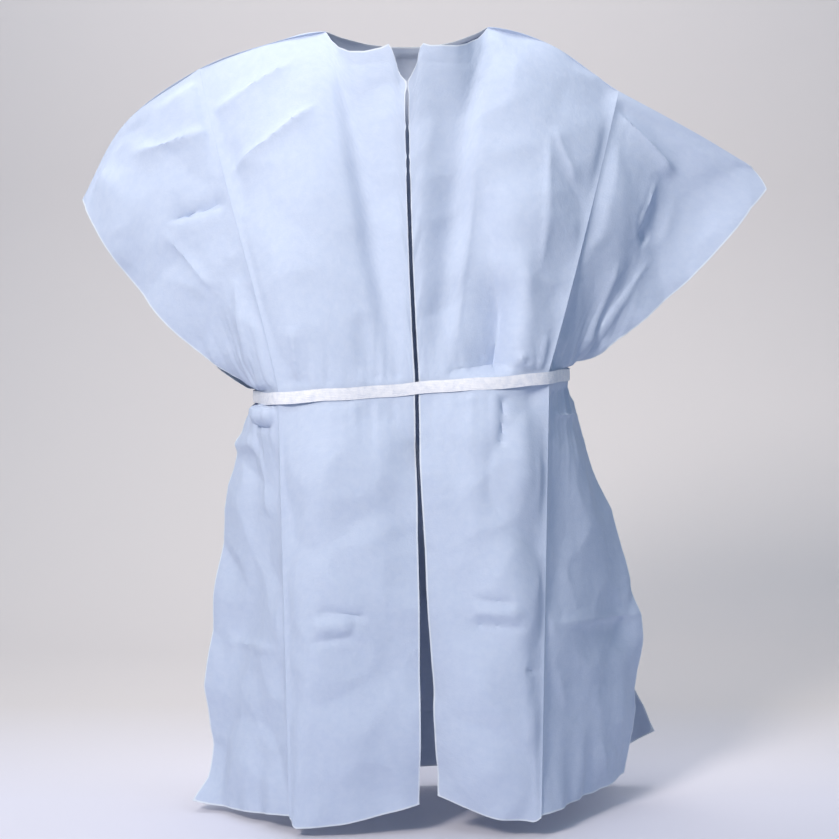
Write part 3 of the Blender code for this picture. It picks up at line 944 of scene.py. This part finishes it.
@dataclass
class BackSheet:
    """The plain back above the belt, from one sleeve's edge over the shoulders to the other's."""

    maker: SheetMaker

    NECKLINE = Neckline((
        (-0.113, 0.000, -0.006), (-0.095, 0.014, -0.012), (-0.060, 0.040, -0.018), (-0.030, 0.053, -0.020),
        (0.000, 0.058, -0.020), (0.030, 0.053, -0.019), (0.060, 0.038, -0.015), (0.090, 0.013, -0.007),
        (0.105, 0.000, 0.000),
    ))
    NECK = Column((0.000, 0.058, -0.012), (0.000, 0.112, -0.100), (0.000, 0.118, -0.340), (0.0, 0.110, -0.473))
    FOLDS = (
        Fold((0.000, -0.060), (0.002, -0.470), 0.0030, 0.012, CREASED, fade=0.1),
        Fold((-0.060, -0.300), (-0.040, -0.470), 0.0050, 0.014),
        Fold((0.070, -0.320), (0.050, -0.470), 0.0050, 0.014),
        Fold((0.120, -0.350), (0.100, -0.470), 0.0050, 0.010, CREASED),
        Fold((-0.130, -0.340), (-0.105, -0.470), 0.0050, 0.010, CREASED),
        Fold((0.300, -0.190), (0.170, -0.400), 0.0070, 0.020, CREASED),
        Fold((-0.300, -0.200), (-0.170, -0.400), 0.0070, 0.020, CREASED),
        Fold((0.140, -0.090), (0.250, -0.170), 0.0040, 0.018),
        Fold((-0.120, -0.080), (-0.250, -0.180), 0.0040, 0.018),
    )

    def make(self) -> bpy.types.Object:
        """The piece."""
        left, right = UpperSheet(self.maker, Side.LEFT), UpperSheet(self.maker, Side.RIGHT)
        names = ("edge", "wing", "crease", "shoulder", "neck")
        columns = [right.back(name) for name in names] + [self.NECK]
        columns += [left.back(name) for name in reversed(names)]
        panel = Panel(
            "back_upper",
            tuple(columns),
            outward=(0, 1, 0),
            band=-BELT_COVER,
            neckline=self.NECKLINE,
            joined=frozenset({Border.FOOT, Border.TOP}),
            folds=self.FOLDS,
            ripples=(
                Ripple(Border.NEAR, 0.0022, 0.140, 0.040, 0.3),
                Ripple(Border.FAR, 0.0022, 0.160, 0.040, 1.1),
                Ripple(Border.FOOT, 0.0032, 0.034, 0.055, 0.7),
            ),
            rim_borders=frozenset({Border.NEAR, Border.FAR}),
            crumple=0.0022,
            seed=9.0,
        )
        piece = self.maker.make(panel)
        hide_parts("back_panel", "sleeve_back_left", "sleeve_back_right")
        return piece


@dataclass
class Skirt:
    """The sheet below the belt on one side of the front: the front with its flap, and the side panels."""

    maker: SheetMaker
    side: Side

    FRONT = {
        Side.LEFT: {
            "slit": ((0.014, -0.150, -0.640), (0.030, -0.162, -0.860), (0.038, -0.132, -1.020)),
            "shoulder": ((0.130, -0.165, -0.600), (0.150, -0.178, -0.860), (0.160, -0.160, -1.036)),
            "wing": ((0.220, -0.055, -0.600), (0.268, -0.040, -0.820), (0.241, -0.052, -1.034)),
            "edge": ((0.250, 0.040, -0.600), (0.362, 0.092, -0.850), (0.300, 0.030, -1.030)),
        },
        Side.RIGHT: {
            "slit": ((0.010, -0.152, -0.640), (0.016, -0.168, -0.860), (0.013, -0.146, -1.028)),
            "shoulder": ((-0.115, -0.165, -0.600), (-0.120, -0.175, -0.860), (-0.144, -0.155, -1.042)),
            "wing": ((-0.205, -0.062, -0.620), (-0.192, -0.058, -0.860), (-0.228, -0.052, -1.056)),
            "edge": ((-0.266, 0.012, -0.620), (-0.256, 0.044, -0.860), (-0.294, 0.002, -1.054)),
        },
    }
    BACK = {
        Side.LEFT: {
            "edge": ((0.236, 0.100, -0.640), (0.270, 0.150, -0.850), (0.352, 0.132, -0.985)),
            "wing": ((0.214, 0.110, -0.640), (0.230, 0.158, -0.850), (0.275, 0.152, -1.030)),
        },
        Side.RIGHT: {
            "edge": ((-0.240, 0.080, -0.640), (-0.235, 0.120, -0.850), (-0.262, 0.110, -1.040)),
            "wing": ((-0.214, 0.105, -0.640), (-0.212, 0.146, -0.850), (-0.230, 0.140, -1.040)),
        },
    }
    NECK_POINTS = {
        Side.LEFT: ((0.004, -0.158, -0.620), (0.020, -0.172, -0.860), (0.034, -0.156, -1.034)),
        Side.RIGHT: ((0.004, -0.158, -0.620), (0.020, -0.172, -0.860), (0.034, -0.156, -1.038)),
    }
    FRONT_WING_WAY = (0.455, 0.859, -0.233)
    FRONT_WING_REACH = 0.17
    BACK_WING_WAY = (0.9, 0.0, -0.12)
    BACK_WING_REACH = 0.07
    FLAP_FOLD_FOOT = {Side.LEFT: (0.146, -0.158, -1.033), Side.RIGHT: (-0.132, -0.158, -1.041)}
    FRONT_CREASE_FOOT = {Side.LEFT: (0.171, -0.160, -1.037), Side.RIGHT: (-0.157, -0.142, -1.042)}
    BACK_CREASE_FOOT = {Side.LEFT: (0.190, 0.152, -1.040), Side.RIGHT: (-0.182, 0.150, -1.040)}
    FRONT_FOLDS = {
        Side.LEFT: (
            Fold((0.123, -0.488), (0.120, -0.560), -0.0060, 0.006, CREASED, fade=0.15),
            Fold((0.150, -0.490), (0.142, -0.640), 0.0050, 0.014, fade=0.3),
            Fold((0.080, -0.495), (0.086, -0.700), 0.0045, 0.022, fade=0.3),
            Fold((0.078, -0.752), (0.140, -0.758), -0.0040, 0.007, CREASED),
            Fold((0.074, -0.770), (0.150, -0.772), 0.0050, 0.008),
            Fold((0.070, -0.786), (0.158, -0.790), -0.0050, 0.006, CREASED),
            Fold((0.150, -0.845), (0.178, -0.851), -0.0040, 0.005, CREASED),
            Fold((0.090, -0.800), (0.108, -1.030), 0.0040, 0.028, fade=0.3),
        ),
        Side.RIGHT: (
            Fold((-0.126, -0.500), (-0.064, -0.497), -0.0060, 0.006, CREASED),
            Fold((-0.050, -0.515), (-0.056, -0.750), 0.0060, 0.032, fade=0.3),
            Fold((-0.030, -0.500), (-0.036, -0.700), 0.0030, 0.024, fade=0.3),
            Fold((-0.122, -0.769), (-0.050, -0.776), -0.0050, 0.007),
            Fold((-0.128, -0.790), (-0.070, -0.787), 0.0055, 0.010),
            Fold((-0.134, -0.812), (-0.066, -0.799), -0.0035, 0.006),
            Fold((-0.070, -0.820), (-0.084, -1.040), 0.0050, 0.028, fade=0.3),
        ),
    }
    SIDE_FOLDS = {
        Side.LEFT: (
            Fold((0.190, -0.518), (0.226, -0.522), 0.0040, 0.006, CREASED),
            Fold((0.176, -0.790), (0.330, -0.806), 0.0050, 0.012, CREASED),
            Fold((0.215, -0.530), (0.262, -0.760), 0.0060, 0.020),
            Fold((0.264, -0.830), (0.262, -1.030), 0.0070, 0.028),
        ),
        Side.RIGHT: (
            Fold((-0.204, -0.514), (-0.172, -0.520), 0.0100, 0.009),
            Fold((-0.206, -0.532), (-0.176, -0.534), -0.0070, 0.006),
            Fold((-0.240, -0.566), (-0.196, -0.556), 0.0090, 0.013),
            Fold((-0.196, -0.560), (-0.186, -0.660), 0.0050, 0.009, CREASED),
            Fold((-0.262, -0.836), (-0.168, -0.828), 0.0050, 0.010, CREASED),
            Fold((-0.215, -0.550), (-0.226, -0.800), 0.0050, 0.018),
            Fold((-0.205, -0.860), (-0.232, -1.050), 0.0060, 0.022),
        ),
    }
    HEM_OUTLINE = {
        Side.LEFT: ((0.0, (0, 0, 0.004)), (0.3, (0, 0, -0.004)), (0.7, (0, 0, -0.010)), (1.0, (0, 0, -0.003))),
        Side.RIGHT: ((0.0, (0, 0, 0.002)), (0.4, (0, 0, -0.011)), (0.7, (0, 0, -0.013)), (1.0, (0, 0, -0.003))),
    }
    EDGE_OUTLINE = {
        Side.LEFT: (
            (0.0, (0, 0, 0)), (0.30, (-0.002, 0, 0)), (0.56, (0.006, -0.004, 0)), (0.63, (0.014, -0.006, 0.002)),
            (0.70, (0.004, 0.004, 0)), (0.80, (-0.014, 0.010, 0)), (0.90, (-0.014, 0.004, 0)), (1.0, (0.000, 0, 0.006)),
        ),
        Side.RIGHT: (
            (0.0, (0, 0, 0)), (0.08, (-0.004, 0, 0)), (0.30, (-0.004, 0, 0)), (0.55, (-0.008, 0, 0)),
            (0.75, (-0.008, 0, 0)), (0.88, (0.010, 0.006, 0)), (0.95, (0.008, 0.0, 0)), (1.0, (-0.004, -0.010, 0)),
        ),
    }

    def front_column(self, name: str) -> Column:
        """A column of the front, from the foot of the band under the belt to the hem."""
        return Column(waist_point(WAIST[self.side][name], -BELT_COVER), *self.FRONT[self.side][name])

    def front_crease(self) -> Column:
        """The straight factory crease of the front."""
        return Column.straight(waist_point(WAIST[self.side]["crease"], -BELT_COVER), self.FRONT_CREASE_FOOT[self.side])

    def back_crease(self) -> Column:
        """The straight factory crease of the back."""
        top = waist_point(beside(WAIST_BACK["crease"], self.side), -BELT_COVER)
        return Column.straight(top, self.BACK_CREASE_FOOT[self.side])

    def flap_swing(self) -> tuple[Vector, Vector]:
        """Where the flap starts to turn, above its free corner, and that corner."""
        top = waist_point(WAIST[self.side]["slit"], -BELT_COVER)
        return swing(top, self.FLAP_FOLD_FOOT[self.side], self.FRONT[self.side]["slit"][2])

    def front_wing_swing(self) -> tuple[Vector, Vector]:
        """Where the front's side wing starts to turn at the hem, and where it moves fully."""
        start = Vector(self.FRONT_CREASE_FOOT[self.side])
        return start, start + Vector(beside(self.FRONT_WING_WAY, self.side)) * self.FRONT_WING_REACH

    def back_wing_swing(self) -> tuple[Vector, Vector]:
        """Where the back's side wing starts to turn at the hem, and where it moves fully."""
        start = Vector(self.BACK_CREASE_FOOT[self.side])
        way = Vector(beside(self.BACK_WING_WAY, self.side)).normalized()
        return start, start + way * self.BACK_WING_REACH

    def front(self) -> bpy.types.Object:
        """The front from the slit to the factory crease, with the flap in it."""
        side = self.side
        plan = WAIST[side]["neck"]
        neck = Column(waist_point(plan, -BELT_COVER), *(
            (plan[0] + aside * side.value, depth, height) for aside, depth, height in self.NECK_POINTS[side]))
        panel = Panel(
            f"skirt_front_{side.word}_sheet",
            (self.front_column("slit"), neck, self.front_column("shoulder"), self.front_crease()),
            outward=(0, -1, 0),
            band=BELT_COVER,
            joined=frozenset({Border.FAR, Border.TOP}),
            tents=frozenset({Border.FAR}),
            folds=self.FRONT_FOLDS[side],
            ripples=(
                Ripple(Border.FOOT, 0.0030, 0.120, 0.060, 0.5 + side.value),
                Ripple(Border.NEAR, 0.0012, 0.140, 0.030, 0.9),
                Ripple(Border.TOP, 0.0018, 0.034, 0.040, 0.5 + side.value),
            ),
            outlines=(Outline(Border.FOOT, self.HEM_OUTLINE[side], 0.100),),
            rim_borders=frozenset({Border.NEAR, Border.FOOT}),
            seed=13.0 + side.value,
        )
        piece = self.maker.make(panel)
        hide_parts(f"skirt_front_{side.word}", f"flap_{side.word}")
        return piece

    def side_panel(self) -> bpy.types.Object:
        """The free side panel of the front, gathered under the belt."""
        side = self.side
        panel = Panel(
            f"skirt_side_{side.word}",
            (self.front_crease(), self.front_column("wing"), self.front_column("edge")),
            outward=(side.value, -0.4, 0),
            band=BELT_COVER,
            joined=frozenset({Border.NEAR, Border.TOP}),
            tents=frozenset({Border.NEAR}),
            folds=self.SIDE_FOLDS[side],
            outlines=(Outline(Border.FAR, self.EDGE_OUTLINE[side], 0.060),),
            ripples=(
                Ripple(Border.FAR, 0.0022, 0.260, 0.050, 0.4 + side.value),
                Ripple(Border.FOOT, 0.0045, 0.110, 0.060, 0.8),
                Ripple(Border.TOP, 0.0030, 0.030, 0.050, 0.4 + side.value),
            ),
            rim_borders=frozenset({Border.FAR, Border.FOOT}),
            crumple=0.0022,
            seed=17.0 + side.value,
        )
        piece = self.maker.make(panel)
        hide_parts(f"gather_front_{side.word}", f"skirt_side_front_{side.word}")
        return piece

    def back_side(self) -> bpy.types.Object:
        """The free side panel of the back."""
        side = self.side
        columns = [self.back_crease()]
        for name in ("wing", "edge"):
            top = waist_point(beside(WAIST_BACK[name], side), -BELT_COVER)
            columns.append(Column(top, *self.BACK[side][name]))
        panel = Panel(
            f"skirt_back_side_{side.word}",
            tuple(columns),
            outward=(side.value * 0.7, 0.7, 0),
            band=BELT_COVER,
            joined=frozenset({Border.NEAR, Border.TOP}),
            folds=(
                Fold((side.value * 0.205, -0.520), (side.value * 0.222, -0.700), 0.0050, 0.012),
                Fold((side.value * 0.215, -0.780), (side.value * 0.250, -1.030), 0.0050, 0.020),
            ),
            ripples=(
                Ripple(Border.FAR, 0.0026, 0.240, 0.045, 1.2 + side.value),
                Ripple(Border.FOOT, 0.0045, 0.110, 0.060, 0.2),
                Ripple(Border.TOP, 0.0030, 0.030, 0.050, 1.4 + side.value),
            ),
            rim_borders=frozenset({Border.FAR, Border.FOOT}),
            crumple=0.0022,
            seed=21.0 + side.value,
        )
        piece = self.maker.make(panel)
        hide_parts(f"gather_back_{side.word}", f"skirt_side_back_{side.word}")
        return piece


@dataclass
class BackSkirt:
    """The middle of the back below the belt."""

    maker: SheetMaker

    SHOULDER = ((0.088, 0.116, -0.640), (0.092, 0.134, -0.850), (0.096, 0.146, -1.040))
    CENTRE = ((0.000, 0.116, -0.640), (0.000, 0.128, -0.850), (0.000, 0.140, -1.040))
    FOLDS = (
        Fold((0.000, -0.490), (0.000, -1.040), 0.0030, 0.012, CREASED, fade=0.08),
        Fold((-0.050, -0.490), (-0.070, -0.760), 0.0060, 0.015),
        Fold((0.045, -0.490), (0.060, -0.720), 0.0060, 0.014),
        Fold((0.105, -0.490), (0.120, -0.800), 0.0070, 0.016),
        Fold((-0.110, -0.490), (-0.130, -0.780), 0.0070, 0.016),
        Fold((0.050, -0.800), (0.056, -1.030), 0.0060, 0.026),
        Fold((-0.060, -0.790), (-0.066, -1.030), 0.0060, 0.026),
        Fold((-0.160, -0.790), (0.160, -0.786), 0.0028, 0.010, CREASED),
    )

    def make(self) -> bpy.types.Object:
        """The piece."""
        left, right = Skirt(self.maker, Side.LEFT), Skirt(self.maker, Side.RIGHT)

        def beside_centre(side: Side) -> Column:
            """The column between the crease and the middle."""
            top = waist_point(beside(WAIST_BACK["shoulder"], side), -BELT_COVER)
            return Column(top, *(beside(point, side) for point in self.SHOULDER))

        columns = (
            right.back_crease(),
            beside_centre(Side.RIGHT),
            Column(waist_point(WAIST_BACK["centre"], -BELT_COVER), *self.CENTRE),
            beside_centre(Side.LEFT),
            left.back_crease(),
        )
        panel = Panel(
            "skirt_back_sheet",
            columns,
            outward=(0, 1, 0),
            band=BELT_COVER,
            joined=frozenset({Border.NEAR, Border.FAR, Border.TOP}),
            folds=self.FOLDS,
            ripples=(
                Ripple(Border.FOOT, 0.0045, 0.130, 0.080, 0.7),
                Ripple(Border.TOP, 0.0034, 0.036, 0.060, 1.9),
            ),
            rim_borders=frozenset({Border.FOOT}),
            crumple=0.0022,
            seed=25.0,
        )
        piece = self.maker.make(panel)
        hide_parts("skirt_back")
        return piece


@dataclass
class Belt:
    """The strip belt: the strap round the waist, the knot behind the back and its two tails."""

    finish: bpy.types.Material
    cells_across: int = 8
    knot_size: Point = (0.030, 0.016, 0.024)
    tail_length: float = 0.300
    tail_splay: float = 0.030
    strap_points: int = 360
    tail_points: int = 90

    KNOT_END = 0.62  # width of the strap where it enters the knot, as a share
    TAIL_END = 0.66
    SWAYS = ((0.0006, 7.0), (0.0004, 17.0))  # height and number of the waves along the strap
    LEAN = (0.06, 31.0)
    KNOT_DENT = 0.0012
    BAND_WIDTH = 0.0125
    TURN_WIDTH = 0.0100

    def strip(
        self, name: str, line: np.ndarray, across: np.ndarray, width: np.ndarray, dent: float = 0.0003
    ) -> bpy.types.Object:
        """A flat strip along a line.

        Args:
            name: Name of the piece.
            line: Points of the middle line.
            across: Unit direction across the strip at each point.
            width: Width at each point.
            dent: Depth of the crease along the middle.

        Returns:
            The new object.
        """
        shares = np.linspace(-0.5, 0.5, self.cells_across + 1)
        rows = line[:, None, :] + across[:, None, :] * (shares[None, :, None] * width[:, None, None])
        normals = np.cross(np.gradient(rows, axis=0), np.gradient(rows, axis=1))
        normals /= np.maximum(np.linalg.norm(normals, axis=2, keepdims=True), 1e-12)
        rows = rows + normals * (dent * (np.abs(shares) * 2) ** 2)[None, :, None]
        walked = np.concatenate([[0.0], np.cumsum(np.linalg.norm(np.diff(line, axis=0), axis=1))])
        flat = np.stack(np.broadcast_arrays(walked[:, None], shares[None, :] * BELT_WIDTH), axis=-1)
        return walled(grid_object(name, rows, flat, self.finish), BELT_WALL)

    def waist_line(self) -> np.ndarray:
        """The strap's middle line, from the knot round the front and back to the knot."""
        left, right = WAIST[Side.LEFT], WAIST[Side.RIGHT]
        back = ("shoulder", "crease", "wing", "edge")
        front = ("edge", "wing", "crease", "shoulder", "neck", "fold")
        plans = [(0.010, WAIST_BACK["centre"][1])]
        plans += [WAIST_BACK[name] for name in back] + [left[name] for name in front]
        plans += [right[name] for name in reversed(front)]
        plans += [beside(WAIST_BACK[name], Side.RIGHT) for name in reversed(back)]
        plans += [(-0.010, WAIST_BACK["centre"][1])]
        points = np.array([waist_point(plan) for plan in plans])
        knots = np.concatenate([[0.0], np.cumsum(np.linalg.norm(np.diff(points, axis=0), axis=1))])
        line = hermite(knots, points, np.linspace(0, knots[-1], self.strap_points))
        along = np.gradient(line, axis=0)
        outward = np.stack([-along[:, 1], along[:, 0], np.zeros(len(line))], axis=1)
        outward /= np.linalg.norm(outward, axis=1, keepdims=True)
        if outward[0, 1] < 0:
            outward = -outward
        return line + outward * BELT_STANDOFF

    def strap(self) -> bpy.types.Object:
        """The strap round the waist, narrowed where it enters the knot."""
        line = self.waist_line()
        share = np.linspace(0, 1, len(line))
        near_knot = np.minimum(share, 1 - share) * 40.0
        width = BELT_WIDTH * (self.KNOT_END + (1.0 - self.KNOT_END) * smooth(near_knot))
        sway = sum(height * np.sin(share * 2 * math.pi * count) for height, count in self.SWAYS)
        line = line + np.stack([0 * share, 0 * share, sway], axis=1)
        lean = np.stack([0 * share, self.LEAN[0] * np.sin(share * self.LEAN[1]), np.ones_like(share)], axis=1)
        lean /= np.linalg.norm(lean, axis=1, keepdims=True)
        piece = self.strip("belt_strap", line, lean, width)
        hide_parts("belt_front", "belt_end_left", "belt_end_right")
        return piece

    def knot(self) -> bpy.types.Object:
        """The knot: a band round two crossed turns of the strip."""
        wide, deep, tall = self.knot_size
        centre = np.array([0.0, WAIST_BACK["centre"][1] + BELT_STANDOFF + deep / 2, WAIST_HEIGHT])
        turns = []
        angle = np.linspace(0, 2 * math.pi, 49)
        ring = np.stack([0.0022 * np.sin(2 * angle), deep * 0.44 * np.cos(angle), tall * 0.46 * np.sin(angle)], axis=1)
        turns.append((centre + ring, np.array([1.0, 0.0, 0.15]), self.BAND_WIDTH))
        for sign in (1.0, -1.0):
            path = Column(
                (sign * wide * 0.52, centre[1] - 0.004, centre[2] + sign * 0.002),
                (sign * wide * 0.20, centre[1] + 0.006, centre[2] + 0.012),
                (-sign * wide * 0.20, centre[1] + 0.003, centre[2] - 0.002),
                (sign * BELT_WIDTH * 0.5, centre[1] - 0.001, centre[2] - tall * 0.52),
            ).at(np.linspace(0, 1, 33))
            turns.append((path, np.array([0.25 * sign, 0.35, 0.9]), self.TURN_WIDTH))
        pieces = []
        for number, (path, across, width) in enumerate(turns):
            along = np.gradient(path, axis=0)
            slant = np.sum(along * across, axis=1) / np.sum(along * along, axis=1)
            side = across[None, :] - along * slant[:, None]
            side /= np.linalg.norm(side, axis=1, keepdims=True)
            pieces.append(self.strip(f"knot_turn_{number}", path, side, np.full(len(path), width), self.KNOT_DENT))
        knot = joined("belt_knot_turns", pieces)
        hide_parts("belt_knot")
        return knot

    def tail(self, side: Side) -> bpy.types.Object:
        """A loose end that hangs from the knot with a slow twist and a slanting cut."""
        _, deep, tall = self.knot_size
        top_y = WAIST_BACK["centre"][1] + BELT_STANDOFF + deep / 2
        top_z = WAIST_HEIGHT - tall / 2 - 0.0015
        sign = side.value
        line = Column(
            (sign * BELT_WIDTH * 0.55, top_y, top_z),
            (sign * 0.014, top_y + 0.004, top_z - 0.10),
            (sign * 0.026, top_y + 0.002, top_z - 0.20),
            (sign * self.tail_splay, top_y + 0.010, top_z - self.tail_length),
        ).at(np.linspace(0, 1, self.tail_points))
        share = np.linspace(0, 1, len(line))
        turn = sign * (0.5 * np.sin(share * 3.2) + 0.35 * share)
        across = np.stack([np.cos(turn), np.sin(turn), 0.12 * np.sin(share * 9 + sign)], axis=1)
        across /= np.linalg.norm(across, axis=1, keepdims=True)
        width = BELT_WIDTH * (self.TAIL_END + (1.0 - self.TAIL_END) * smooth(share * 14))
        piece = self.strip(f"belt_tail_{side.word}_strip", line, across, width)
        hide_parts(f"belt_tail_{side.word}")
        return piece


def joined(name: str, pieces: list[bpy.types.Object]) -> bpy.types.Object:
    """Several plain meshes made one."""
    with bpy.context.temp_override(active_object=pieces[0], selected_editable_objects=pieces):
        bpy.ops.object.join()
    pieces[0].name = name
    return pieces[0]


# The studio

@dataclass(frozen=True)
class Lamp:
    """A square soft light."""

    name: str
    place: Point
    aim: Point
    size: float
    power: float
    colour: Point
    spread: float = 180.0  # full angle in degrees

    def add(self) -> None:
        """Adds the light to the scene."""
        lamp = bpy.data.lights.new(self.name, "AREA")
        lamp.spread = math.radians(self.spread)
        lamp.size = self.size
        lamp.energy = self.power
        lamp.color = self.colour
        holder = bpy.data.objects.new(self.name, lamp)
        holder.location = self.place
        holder.rotation_euler = (Vector(self.aim) - Vector(self.place)).to_track_quat("-Z", "Y").to_euler()
        bpy.context.scene.collection.objects.link(holder)


@dataclass(frozen=True)
class Studio:
    """Pale floor, with a painted pool of light near the gown, that sweeps up into a grey backdrop; soft key light from
    the front left and a pale fill.
    """

    floor: float = -1.068
    wall: float = 2.3
    bend: float = 1.0
    # painted pool of light on the floor near the gown
    pale: tuple[float, ...] = (0.82, 0.80, 0.88, 1.0)
    grey: tuple[float, ...] = (0.722, 0.674, 0.655, 1.0)
    lens: float = 88.3
    camera: Point = (0.0129, -2.8, -0.377)
    tilt: float = 3.13  # downwards, in degrees
    front: float = -6.0
    half_width: float = 5.0
    height: float = 4.0
    bend_steps: int = 16
    surround: tuple[float, ...] = (0.56, 0.76, 1.0, 1.0)
    surround_strength: float = 0.42

    LAMPS = (
        Lamp("key", (-1.35, -2.75, 1.15), (-0.12, -0.1, -0.16), 0.7, 11.7, (1.0, 0.925, 0.85), 62.0),
        Lamp("backdrop", (-0.25, 0.5, 1.9), (-0.15, 2.3, -0.6), 1.8, 44.0, (1.0, 0.98, 0.98)),
        Lamp("ground", (-0.5, -1.6, 1.7), (0.0, -0.1, -1.07), 1.0, 1.0, (1.0, 0.98, 1.0), 50.0),
    )

    def add_sweep(self) -> None:
        """The floor and the backdrop, as one curved sheet, painted pale near the gown as a pool of light and grey
        further back.
        """
        profile = [(self.front, self.floor), (self.wall - self.bend, self.floor)]
        for step in range(1, self.bend_steps + 1):
            angle = math.pi / 2 * step / self.bend_steps
            profile.append((
                self.wall - self.bend + self.bend * math.sin(angle),
                self.floor + self.bend - self.bend * math.cos(angle),
            ))
        profile.append((self.wall, self.floor + self.height))
        points = [(x, y, z) for y, z in profile for x in (-self.half_width, self.half_width)]
        faces = [(2 * i, 2 * i + 1, 2 * i + 3, 2 * i + 2) for i in range(len(profile) - 1)]
        mesh = bpy.data.meshes.new("studio_sweep")
        mesh.from_pydata(points, [], faces)
        mesh.shade_smooth()
        paint = Shader("studio_paper")
        place = paint.node("ShaderNodeTexCoord").outputs["Object"]
        tone = paint.noise(place, 1.1, 2.0)
        split = paint.node("ShaderNodeSeparateXYZ")
        paint.link(place, split.inputs[0])
        # painted pool of light: pale near the gown, fading to grey from 0.05 to 0.75 m back
        far = paint.ranged(split.outputs[1], 0.05, 0.75, 0.0, 1.0)
        ground = paint.mix(tone, self.pale, tuple(0.97 * c for c in self.pale[:3]) + (1.0,))
        colour = paint.mix(far, ground, self.grey)
        paint.link(colour, paint.surface.inputs["Base Color"])
        paint.surface.inputs["Roughness"].default_value = 0.95
        paint.surface.inputs["Specular IOR Level"].default_value = 0.1
        paint.see_through_from_behind()
        mesh.materials.append(paint.material)
        sweep = bpy.data.objects.new("studio_sweep", mesh)
        bpy.context.scene.collection.objects.link(sweep)

    def add_world(self) -> None:
        """A pale, slightly blue surround."""
        world = bpy.data.worlds.new("studio_world")
        world.use_nodes = True
        background = world.node_tree.nodes["Background"]
        background.inputs["Color"].default_value = self.surround
        background.inputs["Strength"].default_value = self.surround_strength
        bpy.context.scene.world = world

    def add_camera(self) -> None:
        """The camera, level with the chest and tilted a little down."""
        view = bpy.data.cameras.new("camera")
        view.lens = self.lens
        view.sensor_width = 36.0
        holder = bpy.data.objects.new("camera", view)
        holder.location = self.camera
        holder.rotation_euler = (math.radians(90.0 - self.tilt), 0.0, 0.0)
        bpy.context.scene.collection.objects.link(holder)
        bpy.context.scene.camera = holder

    def build(self) -> None:
        """Adds everything."""
        self.add_sweep()
        self.add_world()
        for lamp in self.LAMPS:
            lamp.add()
        self.add_camera()
        bpy.context.scene.view_settings.view_transform = "Standard"


def finished(slot: str, *pieces: bpy.types.Object) -> None:
    """Logs each piece's name and face count."""
    for piece in pieces:
        LOG.info("%s: %d faces", piece.name, len(piece.data.polygons))


def add_side(maker: SheetMaker, side: Side) -> None:
    """Makes one side's sheets: the chest, the sleeve and the skirt's three panels."""
    upper = UpperSheet(maker, side)
    chest = upper.chest()
    start, end = upper.lapel_swing()
    f"lapel_{side.word}"
    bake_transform(chest)

    sleeve = upper.sleeve()
    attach(sleeve, "root")

    skirt = Skirt(maker, side)
    front = skirt.front()
    start, end = skirt.flap_swing()
    f"flap_{side.word}"
    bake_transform(front)

    panel = skirt.side_panel()
    start, end = skirt.front_wing_swing()
    f"side_front_{side.word}"
    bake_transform(panel)

    behind = skirt.back_side()
    start, end = skirt.back_wing_swing()
    f"side_back_{side.word}"
    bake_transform(behind)
    finished("tissue_sheet", chest, sleeve, front, panel, behind)


def add_back(maker: SheetMaker) -> None:
    """Makes the back above and below the belt."""
    back = BackSheet(maker).make()
    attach(back, "root")
    skirt_back = BackSkirt(maker).make()
    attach(skirt_back, "root")
    finished("tissue_sheet", back, skirt_back)


def add_belt(finish: bpy.types.Material) -> None:
    """Makes the strap, the knot and the two tails."""
    belt = Belt(finish)
    strap = belt.strap()
    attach(strap, "root")
    knot = belt.knot()
    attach(knot, "root")
    tails = []
    for side in Side:
        tail = belt.tail(side)
        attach(tail, f"tail_{side.word}")
        tails.append(tail)
    finished("belt_strip", strap, knot, *tails)


def main() -> None:
    """Builds the gown and the studio around the CAD frame."""
    logging.basicConfig(level=logging.INFO, format="%(name)s: %(message)s")
    tissue = TissueFinish().make()
    strip = StripFinish().make()
    maker = SheetMaker(tissue, crumple_tree())
    for side in Side:
        add_side(maker, side)
    add_back(maker)
    add_belt(strip)
    Studio().build()


if __name__ == "__main__":
    main()
